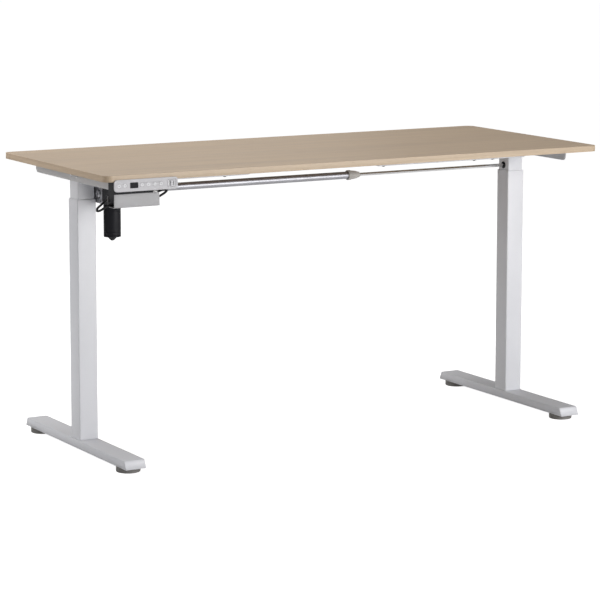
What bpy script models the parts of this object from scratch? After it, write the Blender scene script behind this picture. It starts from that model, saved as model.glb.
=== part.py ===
"""Height adjustable desk: one motor, two telescopic legs joined by a cross shaft.

Metres, +Z up. The origin is on the floor below the middle of the desk, +X is the
sitting person's right and the person sits on the -Y side. The desk stands at its
lowest height.
"""
import math

import bmesh
import bpy
from mathutils import Vector

# ---------------------------------------------------------------- clearances
GAP = 0.0003            # between two pieces that touch
RUN = 0.0006            # round a piece that turns or slides in another

# ---------------------------------------------------------------- tabletop
TOP_LENGTH = 1.400
TOP_DEPTH = 0.600
TOP_THICK = 0.015
TOP_HEIGHT = 0.7154     # upper face above the floor, at the lowest setting
TOP_CORNER = 0.020
TOP_EDGE = 0.0010

# ---------------------------------------------------------------- feet and glides
FOOT_LENGTH = 0.589
FOOT_MARGIN = 0.0025    # foot beyond each side of the outer column
FOOT_HEIGHT = 0.021
FOOT_SLANT = 0.009
FOOT_Y = -0.004
FOOT_WALL = 0.0022
FOOT_EDGE = 0.0022
FOOT_BOSS = 0.0095      # radius of the boss round a glide's stud
GLIDE_RADIUS = 0.0295
GLIDE_HEIGHT = 0.013
GLIDE_INSET = 0.044     # glide centre from the foot's end
STUD_RADIUS = 0.005
STUD_LENGTH = 0.015
GLIDE_CHAMFER = 0.0020  # at the sole; the upper edge has three quarters of it

# ---------------------------------------------------------------- columns
COLUMN_INSET = 0.074    # column centre from the tabletop's end
COLUMN_Y = -0.0094
OUTER_X = 0.050
OUTER_Y = 0.052
OUTER_WALL = 0.0015
OUTER_CORNER = 0.0030
OUTER_BORE_CORNER = 0.0018
COLUMN_ROOM = 0.00125    # between the outer column's bore and the inner column
RIM_ROOM = 0.0050        # outer column's rim below the shaft bush
INNER_WALL = 0.0015
INNER_CORNER = 0.0025
INNER_BORE_CORNER = 0.0012
INNER_REST = 0.006      # lowered inner column above the nut post's flange
LINER_HEIGHT = 0.060
LINER_DROP = 0.003
LINER_CORNER = 0.0016

# ---------------------------------------------------------------- brackets and rails
SHEET = 0.0025
BRACKET_DROP = 0.0285
BRACKET_INSET = 0.0721  # bracket's front end behind the tabletop's front edge
BRACKET_CORNER = 0.012
FLANGE_WIDTH = 0.060
FLANGE_CORNER = 0.006
RAIL_SETBACK = 0.0095   # front rail's back face from the gear housing's front
RAIL_DEPTH = 0.0250
RAIL_HEIGHT = 0.0270
RAIL_WALL = 0.0015
RAIL_CORNER = 0.0020
RAIL_BORE_CORNER = 0.0010
RAIL_CORE_CORNER = 0.0006
RAIL_END_INSET = 0.014  # rail end from the column centre
LEFT_RAIL = 0.402
RIGHT_RAIL = 0.447
RAIL_OVERLAP = 0.110
SLIDE_FIT = 0.0005

# ---------------------------------------------------------------- cross shaft
SHAFT_DROP = 0.0588     # tabletop's underside down to the shaft's axis
HEX_FLATS = 0.0080
TUBE_RADIUS = 0.0095
TUBE_WALL = 0.0015
TUBE_START = 0.0350     # drive tube's left end from the motor's axis
ROD_IN_TUBE = 0.120     # left rod inside the tube's left end
ROD_SPACE = 0.100       # between the two rods, inside the tube
TUBE_IN_COLLAR = 0.010
ROD_END_ROOM = 0.0005   # rod's end from the bevel gears' meeting point
COLLAR_X = 0.121
COLLAR_RING = 0.009
COLLAR_LENGTH = 0.036
COLLAR_WALL = 0.0034     # ring round the drive tube
COLLAR_NECK = 0.0120    # ring's end to the start of the cone
COLLAR_STEP = 0.0010    # cone's start below the ring
COLLAR_SLOPE = 0.0022   # neck's end below the ring
COLLAR_TIP = 0.0064     # radius at the thin end
COLLAR_EDGE = 0.0010
BUSH_RADIUS = 0.0092
BUSH_FLANGE = 0.0016
BUSH_STEP = 0.0020      # flange's radius beyond the sleeve's
BUSH_SLEEVE = 0.0030

# ---------------------------------------------------------------- lift drive
BEVEL_RADIUS = 0.0105
BEVEL_WALL = 0.0020      # small end's pitch radius beyond its bore
BEVEL_TEETH = 12
BEVEL_TOOTH = 0.0022
HUB_ROOM = 0.00225      # bevel hubs from the inner column's wall
BEVEL_BACK = 0.0015     # toothed rim to the plain hub
BEVEL_APEX = 0.0002     # gear pair's clearance at the cones' apex
SCREW_RADIUS = 0.0070
JOURNAL_RADIUS = 0.0050
SHOULDER_ROOM = 0.0010  # screw's shoulder below its bearing
SCREW_SPARE = 0.012     # screw below the nut at full height
SCREW_REST = 0.0294     # screw's lower end above the foot, which leaves 0.45 m of travel
SEAT_HEIGHT = 0.018
SEAT_ROOM = 0.0035      # seat below the bevel wheel's hub
SEAT_CORNER = 0.0010
BEARING_RADIUS = 0.0110
BEARING_HEIGHT = 0.0070
POST_RADIUS = 0.0120
POST_WALL = 0.0020
POST_FLANGE = 0.0040
NUT_RADIUS = 0.0150
NUT_HEIGHT = 0.030
NUT_DROP = 0.145        # tabletop's underside down to the nut's upper face

# ---------------------------------------------------------------- motor
MOTOR_INSET = 0.04475   # motor axis from the left inner column's wall
MOTOR_RADIUS = 0.0212
MOTOR_LENGTH = 0.074
HOUSING_MARGIN = 0.00215  # housing beyond the motor can, away from the column
HOUSING_WALL = 0.0030    # in front of the motor can and behind the wheel
HOUSING_ROOF = 0.0038    # above the wheel
HOUSING_FLOOR = 0.0073   # below the wheel
HOUSING_CORNER = 0.005
PLATE_THICK = 0.0025
PLATE_STANDOFF = 0.0050
PLATE_DROP = 0.0225     # plate's lower edge below the shaft axis
PLATE_FRONT = 0.016     # plate's front edge from the gear housing's
PLATE_BACK = 0.002      # plate's back edge from the inner column's
PLATE_CORNER = 0.003
HUB_RADIUS = 0.0105
HUB_OFFSET = -0.0100    # large hole's middle behind the motor axis
SHAFT_HOLE = 0.0085
BOSS_RADIUS = 0.0032
BOSS_SPACING = 0.0280
BOSS_DROP = 0.0055      # boss centres below the plate's upper edge
WHEEL_RADIUS = 0.0200
WHEEL_TEETH = 20
WHEEL_WIDTH = 0.0090
WORM_RADIUS = 0.0075
WORM_LENGTH = 0.0260
WORM_STARTS_LOW = 0.25  # worm's tooth at the mesh, in teeth
WHEEL_ROOM = 0.0010     # housing round the wheel's and the worm's tips
TOOTH_DEPTH = 0.0034
MOTOR_SHAFT = 0.0030
SHAFT_IN_CAN = 0.006
SHAFT_POCKET = 0.010
CAP_HEIGHT = 0.0137
CAP_RIM = 0.004
CAP_DISH = 0.0100       # cap's upper face down to the foot of its point
CAP_POINT = 0.0035
CAP_NECK = 0.0075
CAP_DOME = 0.0125       # radius of the dome's foot
CAP_STEP = 0.0008

# ---------------------------------------------------------------- controls
PANEL_LIFT = 0.0050     # panel's upper edge above the tabletop's underside
PANEL_SILL = 0.00575    # panel below the charging module
PANEL_FACE = 0.0034
PANEL_INSET = 0.1035    # panel's middle from the tabletop's left end
PANEL_ROOM = 0.0023     # between the panel's body and the control box
PANEL_CORNER = 0.0075
PANEL_MARGIN = 0.0040   # face plate beyond the body behind it
BUTTON_RADIUS = 0.0046
BUTTON_DEPTH = 0.0040
BUTTON_PROUD = 0.0004
BUTTON_TRAVEL = 0.0012
BUTTON_PITCH = 0.0165
ARROW_PITCH = 0.01535   # between the up and down buttons
ARROW_INSET = 0.0120    # up button from the panel's left end
DISPLAY_LENGTH = 0.0205
DISPLAY_HEIGHT = 0.0130
DISPLAY_CORNER = 0.0008
DISPLAY_THICK = 0.0016
DISPLAY_SINK = 0.0002
DISPLAY_BEFORE = 0.0135  # down button to the display's left edge
DISPLAY_AFTER = 0.0105   # display's right edge to the first memory button
USB_LENGTH = 0.0215
USB_HEIGHT = 0.0170
USB_CORNER = 0.0010
USB_BEFORE = 0.01665     # last memory button to the module's left edge
USB_INSET = 0.0055      # module from the panel's right end
USB_ROOM = 0.00075      # module below the tabletop
USB_SINK = 0.0001
USB_DEPTH = 0.0160
SOCKET_DEPTH = 0.0130
WIDE_SOCKET = (0.0051, 0.0125, 0.0004)    # width, height, corner radius
WIDE_SOCKET_X = -0.0048
NARROW_SOCKET = (0.0030, 0.0088, 0.0014)
NARROW_SOCKET_X = 0.0046
BOX_LENGTH = 0.0970
BOX_DEPTH = 0.0350
BOX_HEIGHT = 0.0540
BOX_INSET = 0.0405      # box's left end from the tabletop's left end
BOX_ROOM = 0.0011       # between the box and the bracket's front end
BOX_CORNER = 0.0015
INLET_INSET = 0.030     # inlet's middle from the box's right end
INLET_DROP = 0.014      # inlet's middle below the box's top
INLET_WIDTH = 0.018
INLET_HEIGHT = 0.012
INLET_DEPTH = 0.014
INLET_PROUD = 0.002
INLET_CORNER = 0.0020
INLET_RIM = 0.0015
INLET_FLOOR = 0.0020
INLET_SOCKET_CORNER = 0.0038
TRAY_LENGTH = 0.119
TRAY_LEAD = 0.0025      # tray's left end outside the box's
TRAY_SHEET = 0.0012
TRAY_ROOM = 0.0109      # below the box, for the motor lead
TRAY_FRONT_HEIGHT = 0.0323
TRAY_BACK_HEIGHT = 0.0256
LEAD_RADIUS = 0.0028
LEAD_REST = 0.0012      # motor lead above the tray's floor
LEAD_EXIT = 0.0060      # below the motor can's upper end
PLUG_DROP = 0.0360      # box's lead socket below the tabletop's underside
PANEL_LEAD_DROP = 0.0110
PASS = 0.010            # a cutting solid beyond the piece that it cuts
ARC_STEPS = 6

# ---------------------------------------------------------------- derived places
COLUMN_SPACING = TOP_LENGTH - 2 * COLUMN_INSET
INNER_X = OUTER_X - 2 * (OUTER_WALL + COLUMN_ROOM)
INNER_Y = OUTER_Y - 2 * (OUTER_WALL + COLUMN_ROOM)
FOOT_WIDTH = OUTER_X + 2 * FOOT_MARGIN
HEX_CORNER = HEX_FLATS / math.sqrt(3)
COLLAR_RADIUS = TUBE_RADIUS + COLLAR_WALL
BEVEL_SMALL = max(HEX_CORNER, JOURNAL_RADIUS) + BEVEL_WALL
BEVEL_HUB = INNER_X / 2 - INNER_WALL - HUB_ROOM
BRACKET_FRONT = -TOP_DEPTH / 2 + BRACKET_INSET
BRACKET_LENGTH = 2 * (COLUMN_Y - BRACKET_FRONT)
MOTOR_X = -COLUMN_SPACING / 2 + INNER_X / 2 + MOTOR_INSET
MOTOR_Y = COLUMN_Y - WHEEL_RADIUS - WORM_RADIUS
WHEEL_SPACE = WHEEL_RADIUS + TOOTH_DEPTH / 2 + WHEEL_ROOM
HOUSING_FRONT = MOTOR_Y - MOTOR_RADIUS - HOUSING_WALL
HOUSING_BOTTOM = WHEEL_SPACE + HOUSING_FLOOR
PLATE_LEFT = -COLUMN_SPACING / 2 + INNER_X / 2 + GAP + PLATE_STANDOFF
FRONT_RAIL_Y = HOUSING_FRONT - RAIL_SETBACK - RAIL_DEPTH / 2
RAIL_Y = COLUMN_Y - FRONT_RAIL_Y
TUBE_LEFT = MOTOR_X + TUBE_START
DISPLAY_START = ARROW_INSET + ARROW_PITCH + DISPLAY_BEFORE
MEMORY_START = DISPLAY_START + DISPLAY_LENGTH + DISPLAY_AFTER
PANEL_LENGTH = MEMORY_START + 3 * BUTTON_PITCH + USB_BEFORE + USB_LENGTH + USB_INSET
PANEL_HEIGHT = PANEL_LIFT + USB_ROOM + USB_HEIGHT + PANEL_SILL
PANEL_CENTRE_X = -TOP_LENGTH / 2 + PANEL_INSET
BOX_LEFT = -TOP_LENGTH / 2 + BOX_INSET
BOX_BACK = BRACKET_FRONT - BOX_ROOM
BOX_FRONT = BOX_BACK - BOX_DEPTH
TRAY_LEFT = BOX_LEFT - TRAY_LEAD
TRAY_DROP = GAP + BOX_HEIGHT + TRAY_ROOM + TRAY_SHEET
PANEL_BACK = BOX_FRONT - PANEL_ROOM
UNDERSIDE = TOP_HEIGHT - TOP_THICK
FOOT_BOTTOM = GLIDE_HEIGHT
FOOT_TOP = FOOT_BOTTOM + FOOT_HEIGHT
SHAFT_Z = UNDERSIDE - SHAFT_DROP
OUTER_TOP = SHAFT_Z - BUSH_RADIUS - RIM_ROOM
SCREW_END = FOOT_TOP + SCREW_REST
FLANGE_BOTTOM = UNDERSIDE - GAP - SHEET
CAN_TOP = SHAFT_Z - HOUSING_BOTTOM - GAP
SIDES = (("left", -1.0), ("right", 1.0))


def column_x(side):
    """X of the column centre on the side -1 (left) or +1 (right)."""
    return side * COLUMN_SPACING / 2


# ================================================================ outlines
def circle(radius, count=24, start=0.0):
    """Points of a circle, anticlockwise."""
    step = 2 * math.pi / count
    return [(radius * math.cos(start + step * i), radius * math.sin(start + step * i))
            for i in range(count)]


def hexagon(flats):
    """Points of a hexagon of the given width across its flats."""
    return circle(flats / math.sqrt(3), 6)


def rounded_rect(width, height, radius, arc=4):
    """Points of a rectangle about (0, 0) with round corners, anticlockwise."""
    points = []
    for turn, (sx, sy) in enumerate(((1, 1), (-1, 1), (-1, -1), (1, -1))):
        cx = sx * (width / 2 - radius)
        cy = sy * (height / 2 - radius)
        for i in range(arc + 1):
            angle = math.pi / 2 * (turn + i / arc)
            points.append((cx + radius * math.cos(angle), cy + radius * math.sin(angle)))
    return points


def shifted(points, du, dv):
    """The outline moved by (du, dv)."""
    return [(u + du, v + dv) for u, v in points]


# ================================================================ solids
def place(axis, u, v, w):
    """World point of outline coordinates (u, v) at distance w along an axis."""
    if axis == "X":
        return Vector((w, u, v))
    if axis == "Y":
        return Vector((v, w, u))
    return Vector((u, v, w))


def prism(outline, axis, low, high):
    """A solid bar: an outline carried along an axis from low to high.

    The outline is (y, z) along X, (z, x) along Y and (x, y) along Z.
    """
    bm = bmesh.new()
    base = [bm.verts.new(place(axis, u, v, low)) for u, v in outline]
    face = bm.faces.new(base)
    grown = bmesh.ops.extrude_face_region(bm, geom=[face])
    top = [item for item in grown["geom"] if isinstance(item, bmesh.types.BMVert)]
    offset = place(axis, 0, 0, high - low)
    bmesh.ops.translate(bm, verts=top, vec=offset)
    bmesh.ops.recalc_face_normals(bm, faces=bm.faces)
    return bm


def ring_prism(outer, inner, axis, low, high):
    """A tube: two outlines with the same number of points, carried along an axis."""
    count = len(outer)
    bm = bmesh.new()
    loops = []
    for outline, w in ((outer, low), (outer, high), (inner, high), (inner, low)):
        loops.append([bm.verts.new(place(axis, u, v, w)) for u, v in outline])
    for k in range(4):
        here, there = loops[k], loops[(k + 1) % 4]
        for i in range(count):
            j = (i + 1) % count
            bm.faces.new((here[i], here[j], there[j], there[i]))
    bmesh.ops.recalc_face_normals(bm, faces=bm.faces)
    return bm


def lathe(profile, axis, centre, count=32):
    """A turned solid: a closed profile of (radius, distance) about an axis.

    Points with radius 0 stay single, so the profile may start and end on the axis.
    """
    bm = bmesh.new()
    rows = []
    for radius, w in profile:
        if radius == 0.0:
            rows.append([bm.verts.new(place(axis, 0, 0, w))])
        else:
            rows.append([bm.verts.new(place(axis, u, v, w)) for u, v in circle(radius, count)])
    for here, there in zip(rows, rows[1:] + rows[:1]):
        if len(here) == 1 and len(there) == 1:
            continue
        for i in range(count):
            j = (i + 1) % count
            if len(here) == 1:
                bm.faces.new((here[0], there[j], there[i]))
            elif len(there) == 1:
                bm.faces.new((here[i], here[j], there[0]))
            else:
                bm.faces.new((here[i], here[j], there[j], there[i]))
    bmesh.ops.recalc_face_normals(bm, faces=bm.faces)
    bmesh.ops.translate(bm, verts=bm.verts, vec=Vector(centre))
    return bm


def tooth(phase):
    """Height from 0 at a gap's floor to 1 at a tooth's tip, for a phase of 0 to 1."""
    distance = abs((phase % 1.0) - 0.5)
    return min(1.0, max(0.0, (0.26 - distance) / 0.12))


def skin_of_rings(bm, rings):
    """Closes a row of vertex rings into one tube whose last ring meets its first."""
    count = len(rings[0])
    for here, there in zip(rings, rings[1:] + rings[:1]):
        for i in range(count):
            j = (i + 1) % count
            bm.faces.new((here[i], here[j], there[j], there[i]))
    bmesh.ops.recalc_face_normals(bm, faces=bm.faces)


def toothed(levels, teeth, depth, bore, axis, centre, twist=0.0, phase=0.0, per_tooth=4):
    """A gear on an axis: levels are (tip radius, distance), with a hexagonal or round bore.

    The radius drops by depth in the gaps; twist is in teeth per metre along the axis.
    """
    count = teeth * per_tooth
    bm = bmesh.new()
    rings = []
    for radius, w, cut in levels:
        ring = []
        for i in range(count):
            share = i / count
            drop = cut * depth * (1 - tooth(share * teeth + twist * w + phase))
            angle = 2 * math.pi * share
            reach = radius - drop
            ring.append(bm.verts.new(place(axis, reach * math.cos(angle), reach * math.sin(angle), w)))
        rings.append(ring)
    for w in (levels[-1][1], levels[0][1]):
        ring = []
        for i in range(count):
            angle = 2 * math.pi * i / count
            reach = bore(angle)
            ring.append(bm.verts.new(place(axis, reach * math.cos(angle), reach * math.sin(angle), w)))
        rings.append(ring)
    skin_of_rings(bm, rings)
    bmesh.ops.translate(bm, verts=bm.verts, vec=Vector(centre))
    return bm


def round_bore(radius):
    """A bore of one radius in every direction."""
    return lambda angle: radius


def hex_bore(flats):
    """A hexagonal bore, its corner at angle 0."""
    return lambda angle: flats / 2 / math.cos(((angle % (math.pi / 3)) - math.pi / 6))


# ================================================================ objects
def material(name, colour, roughness, metallic=0.0):
    """A plain Principled material."""
    made = bpy.data.materials.new(name)
    made.use_nodes = True
    shader = made.node_tree.nodes["Principled BSDF"]
    shader.inputs["Base Color"].default_value = (*colour, 1.0)
    shader.inputs["Roughness"].default_value = roughness
    shader.inputs["Metallic"].default_value = metallic
    return made


def add(name, bm, finish, origin=(0.0, 0.0, 0.0)):
    """Makes the scene object of a mesh, with its origin at a point in the world."""
    bmesh.ops.translate(bm, verts=bm.verts, vec=-Vector(origin))
    mesh = bpy.data.meshes.new(name)
    bm.to_mesh(mesh)
    bm.free()
    mesh.materials.append(finish)
    mesh.shade_smooth()
    mesh.set_sharp_from_angle(angle=math.radians(35))
    made = bpy.data.objects.new(name, mesh)
    made.location = origin
    bpy.context.scene.collection.objects.link(made)
    return made


def combine(target, bm, operation):
    """Joins a second solid to an object, or cuts it away, with an exact Boolean."""
    number = len(target.modifiers) + 1
    mesh = bpy.data.meshes.new(f"{target.name}_tool_{number}")
    bm.to_mesh(mesh)
    bm.free()
    tool = bpy.data.objects.new(mesh.name, mesh)
    tool.hide_render = True
    tool.display_type = "WIRE"
    bpy.context.scene.collection.objects.link(tool)
    modifier = target.modifiers.new(f"{operation.lower()}_{number}", "BOOLEAN")
    modifier.operation = operation
    modifier.object = tool
    modifier.solver = "EXACT"


def cut(target, bm):
    """Cuts a solid away from an object."""
    combine(target, bm, "DIFFERENCE")


def join(target, bm):
    """Joins a solid to an object."""
    combine(target, bm, "UNION")


def soften(target, width, segments=2):
    """Rounds an object's sharp edges."""
    modifier = target.modifiers.new("edges", "BEVEL")
    modifier.width = width
    modifier.segments = segments
    modifier.limit_method = "ANGLE"
    modifier.angle_limit = math.radians(50)


# ================================================================ feet
def make_leg_base(name, side, finishes):
    """Foot, outer column, guide liner, nut post and nut of one leg."""
    x = column_x(side)
    front = FOOT_Y - FOOT_LENGTH / 2
    back = FOOT_Y + FOOT_LENGTH / 2
    outline = [(front, FOOT_BOTTOM), (back, FOOT_BOTTOM),
               (back - FOOT_SLANT, FOOT_TOP), (front + FOOT_SLANT, FOOT_TOP)]
    foot = add(f"{name}_foot", prism(outline, "X", x - FOOT_WIDTH / 2, x + FOOT_WIDTH / 2),
               finishes["white"])
    soften(foot, FOOT_EDGE)
    inset = FOOT_WALL + FOOT_SLANT
    hollow = [(front + inset, FOOT_BOTTOM - FOOT_WALL), (back - inset, FOOT_BOTTOM - FOOT_WALL),
              (back - inset - FOOT_SLANT, FOOT_TOP - FOOT_WALL),
              (front + inset + FOOT_SLANT, FOOT_TOP - FOOT_WALL)]
    half = FOOT_WIDTH / 2 - FOOT_WALL
    cut(foot, prism(hollow, "X", x - half, x + half))
    for end in (front + GLIDE_INSET, back - GLIDE_INSET):
        boss = ring_prism(circle(FOOT_BOSS), circle(STUD_RADIUS + GAP), "Z",
                          FOOT_BOTTOM, FOOT_TOP - FOOT_WALL / 2)
        bmesh.ops.translate(boss, verts=boss.verts, vec=(x, end, 0.0))
        join(foot, boss)

    outer = rounded_rect(OUTER_X, OUTER_Y, OUTER_CORNER)
    bore_x = OUTER_X - 2 * OUTER_WALL
    bore_y = OUTER_Y - 2 * OUTER_WALL
    bore = rounded_rect(bore_x, bore_y, OUTER_BORE_CORNER)
    column = ring_prism(shifted(outer, x, COLUMN_Y), shifted(bore, x, COLUMN_Y), "Z",
                        FOOT_TOP + GAP, OUTER_TOP)
    add(f"{name}_outer_column", column, finishes["white"])

    liner_out = rounded_rect(bore_x - 2 * GAP, bore_y - 2 * GAP, LINER_CORNER)
    liner_in = rounded_rect(INNER_X + 2 * GAP, INNER_Y + 2 * GAP, INNER_CORNER + GAP)
    liner = ring_prism(shifted(liner_out, x, COLUMN_Y), shifted(liner_in, x, COLUMN_Y), "Z",
                       OUTER_TOP - LINER_DROP - LINER_HEIGHT, OUTER_TOP - LINER_DROP)
    add(f"{name}_guide_liner", liner, finishes["liner"])

    nut_top = UNDERSIDE - NUT_DROP
    post_base = FOOT_TOP + GAP
    post_top = nut_top - NUT_HEIGHT - GAP
    post = add(f"{name}_nut_post",
               ring_prism(shifted(circle(POST_RADIUS), x, COLUMN_Y),
                          shifted(circle(POST_RADIUS - POST_WALL), x, COLUMN_Y), "Z",
                          post_base + POST_FLANGE / 2, post_top),
               finishes["steel"])
    join(post, prism(shifted(liner_out, x, COLUMN_Y), "Z", post_base, post_base + POST_FLANGE))

    nut_bore = SCREW_RADIUS + RUN
    nut = lathe([(nut_bore, 0.0), (NUT_RADIUS, 0.0), (NUT_RADIUS, NUT_HEIGHT), (nut_bore, NUT_HEIGHT)],
                "Z", (x, COLUMN_Y, nut_top - NUT_HEIGHT))
    add(f"{name}_lift_nut", nut, finishes["nut"])


def make_glides(name, side, finishes):
    """The two levelling glides under one foot, each a pad on a threaded stud."""
    x = column_x(side)
    for place_name, direction in (("front", -1.0), ("back", 1.0)):
        y = FOOT_Y + direction * (FOOT_LENGTH / 2 - GLIDE_INSET)
        top = GLIDE_HEIGHT - GAP
        edge = GLIDE_CHAMFER * 0.75
        profile = [(0.0, 0.0), (GLIDE_RADIUS - GLIDE_CHAMFER, 0.0), (GLIDE_RADIUS, GLIDE_CHAMFER),
                   (GLIDE_RADIUS, top - edge), (GLIDE_RADIUS - edge, top),
                   (STUD_RADIUS, top), (STUD_RADIUS, top + STUD_LENGTH), (0.0, top + STUD_LENGTH)]
        glide = lathe(profile, "Z", (x, y, 0.0), 24)
        add(f"{name}_{place_name}_glide", glide, finishes["rubber"], origin=(x, y, 0.0))


# ================================================================ upper frame
def make_tabletop(finishes):
    """The board with round corners and lightly broken edges."""
    outline = rounded_rect(TOP_LENGTH, TOP_DEPTH, TOP_CORNER, 8)
    top = add("tabletop", prism(outline, "Z", UNDERSIDE, TOP_HEIGHT), finishes["oak"])
    soften(top, TOP_EDGE)


def make_bracket(name, side, finishes):
    """Side bracket: an upright plate outside the column under one folded flange."""
    x = column_x(side)
    inner = x + side * (INNER_X / 2 + GAP)
    outer = inner + side * SHEET
    y0 = COLUMN_Y - BRACKET_LENGTH / 2
    y1 = COLUMN_Y + BRACKET_LENGTH / 2
    top = UNDERSIDE - GAP
    low = UNDERSIDE - BRACKET_DROP
    radius = BRACKET_CORNER
    outline = [(y0, top)]
    for centre, start in ((y0 + radius, math.pi), (y1 - radius, 1.5 * math.pi)):
        for i in range(ARC_STEPS + 1):
            angle = start + math.pi / 2 * i / ARC_STEPS
            outline.append((centre + radius * math.cos(angle), low + radius + radius * math.sin(angle)))
    outline.append((y1, top))
    plate = add(f"{name}_bracket", prism(outline, "X", min(inner, outer), max(inner, outer)),
                finishes["grey"])
    edge = outer - side * FLANGE_WIDTH
    flange = rounded_rect(BRACKET_LENGTH, FLANGE_WIDTH - GAP, FLANGE_CORNER)
    middle = (outer + edge) / 2
    join(plate, prism([(middle + v, COLUMN_Y + u) for u, v in flange], "Z", FLANGE_BOTTOM, top))


def make_inner_column(name, side, finishes):
    """Inner column with the holes for the cross shaft."""
    x = column_x(side)
    outer = rounded_rect(INNER_X, INNER_Y, INNER_CORNER)
    bore = rounded_rect(INNER_X - 2 * INNER_WALL, INNER_Y - 2 * INNER_WALL, INNER_BORE_CORNER)
    low = FOOT_TOP + GAP + POST_FLANGE + INNER_REST
    column = add(f"{name}_inner_column",
                 ring_prism(shifted(outer, x, COLUMN_Y), shifted(bore, x, COLUMN_Y), "Z",
                            low, FLANGE_BOTTOM - GAP), finishes["white"])
    sleeve = BUSH_RADIUS - BUSH_STEP
    hole = shifted(circle(sleeve + GAP), COLUMN_Y, SHAFT_Z)
    wall = x - side * INNER_X / 2
    cut(column, prism(hole, "X", wall - 2 * INNER_WALL, wall + 2 * INNER_WALL))

    seat_top = SHAFT_Z - BEVEL_HUB - SEAT_ROOM
    seat_out = rounded_rect(INNER_X - 2 * INNER_WALL - 2 * GAP, INNER_Y - 2 * INNER_WALL - 2 * GAP,
                            SEAT_CORNER)
    seat = add(f"{name}_bearing_seat",
               prism(shifted(seat_out, x, COLUMN_Y), "Z", seat_top - SEAT_HEIGHT, seat_top),
               finishes["black"])
    pocket = seat_top - BEARING_HEIGHT - 2 * GAP
    cut(seat, prism(shifted(circle(BEARING_RADIUS + GAP), x, COLUMN_Y), "Z", pocket, seat_top + PASS))
    cut(seat, prism(shifted(circle(SCREW_RADIUS + RUN), x, COLUMN_Y), "Z",
                    seat_top - SEAT_HEIGHT - PASS, pocket + GAP))
    bearing = lathe([(JOURNAL_RADIUS + RUN, 0.0), (BEARING_RADIUS, 0.0),
                     (BEARING_RADIUS, BEARING_HEIGHT), (JOURNAL_RADIUS + RUN, BEARING_HEIGHT)],
                    "Z", (x, COLUMN_Y, pocket + GAP))
    add(f"{name}_screw_bearing", bearing, finishes["steel"])

    if side > 0:
        flange_in = wall - GAP
        flange_out = flange_in - BUSH_FLANGE
        sleeve_end = flange_in + BUSH_SLEEVE
        bush_bore = HEX_CORNER + RUN
        profile = [(bush_bore, sleeve_end), (sleeve, sleeve_end), (sleeve, flange_in),
                   (BUSH_RADIUS, flange_in), (BUSH_RADIUS, flange_out), (bush_bore, flange_out)]
        add(f"{name}_shaft_bush", lathe(profile, "X", (0.0, COLUMN_Y, SHAFT_Z), 16), finishes["black"])


def make_rails(finishes):
    """Two telescopic rails, each a left tube, a right tube and a bar inside both."""
    end = COLUMN_SPACING / 2 - RAIL_END_INSET
    z = FLANGE_BOTTOM - GAP - RAIL_HEIGHT / 2
    outer = rounded_rect(RAIL_DEPTH, RAIL_HEIGHT, RAIL_CORNER, 2)
    bore_y = RAIL_DEPTH - 2 * RAIL_WALL
    bore_z = RAIL_HEIGHT - 2 * RAIL_WALL
    bore = rounded_rect(bore_y, bore_z, RAIL_BORE_CORNER, 2)
    bar_y = bore_y - 2 * SLIDE_FIT
    bar_z = bore_z - 2 * SLIDE_FIT
    bar = rounded_rect(bar_y, bar_z, RAIL_BORE_CORNER, 2)
    core = rounded_rect(bar_y - 2 * RAIL_WALL, bar_z - 2 * RAIL_WALL, RAIL_CORE_CORNER, 2)
    for name, direction in (("front", -1.0), ("back", 1.0)):
        y = COLUMN_Y + direction * RAIL_Y
        left = ring_prism(shifted(outer, y, z), shifted(bore, y, z), "X", -end, -end + LEFT_RAIL)
        add(f"{name}_rail_left", left, finishes["white"])
        right = ring_prism(shifted(outer, y, z), shifted(bore, y, z), "X", end - RIGHT_RAIL, end)
        add(f"{name}_rail_right", right, finishes["white"])
        middle = ring_prism(shifted(bar, y, z), shifted(core, y, z), "X",
                            -end + LEFT_RAIL - RAIL_OVERLAP, end - RIGHT_RAIL + RAIL_OVERLAP)
        add(f"{name}_rail_bar", middle, finishes["white"])


# ================================================================ drive
def make_cross_shaft(finishes):
    """Two hexagonal rods, the drive tube that joins them and its clamping collar."""
    axis_point = (0.0, COLUMN_Y, SHAFT_Z)
    rod = shifted(hexagon(HEX_FLATS), COLUMN_Y, SHAFT_Z)
    end = COLUMN_SPACING / 2 - BEVEL_SMALL - ROD_END_ROOM
    middle = TUBE_LEFT + ROD_IN_TUBE
    add("left_hex_rod", prism(rod, "X", -end, middle), finishes["steel"], origin=axis_point)
    add("right_hex_rod", prism(rod, "X", middle + ROD_SPACE, end), finishes["steel"], origin=axis_point)
    count = 24
    grip = HEX_CORNER + GAP
    tube = ring_prism(shifted(circle(TUBE_RADIUS, count), COLUMN_Y, SHAFT_Z),
                      shifted(circle(max(grip, TUBE_RADIUS - TUBE_WALL), count), COLUMN_Y, SHAFT_Z),
                      "X", TUBE_LEFT, COLLAR_X + TUBE_IN_COLLAR)
    add("drive_tube", tube, finishes["chrome"], origin=axis_point)
    collar_bore = TUBE_RADIUS + GAP
    stop = COLLAR_X + TUBE_IN_COLLAR + GAP
    ring_end = COLLAR_X + COLLAR_RING
    tip = COLLAR_X + COLLAR_LENGTH
    profile = [(collar_bore, COLLAR_X), (COLLAR_RADIUS, COLLAR_X), (COLLAR_RADIUS, ring_end),
               (COLLAR_RADIUS - COLLAR_STEP, ring_end + COLLAR_EDGE / 2),
               (COLLAR_RADIUS - COLLAR_SLOPE, ring_end + COLLAR_NECK),
               (COLLAR_TIP + COLLAR_EDGE, tip - COLLAR_EDGE), (COLLAR_TIP, tip),
               (grip, tip), (grip, stop), (collar_bore, stop)]
    add("tube_collar", lathe(profile, "X", axis_point, 20), finishes["collar"], origin=axis_point)


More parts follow.
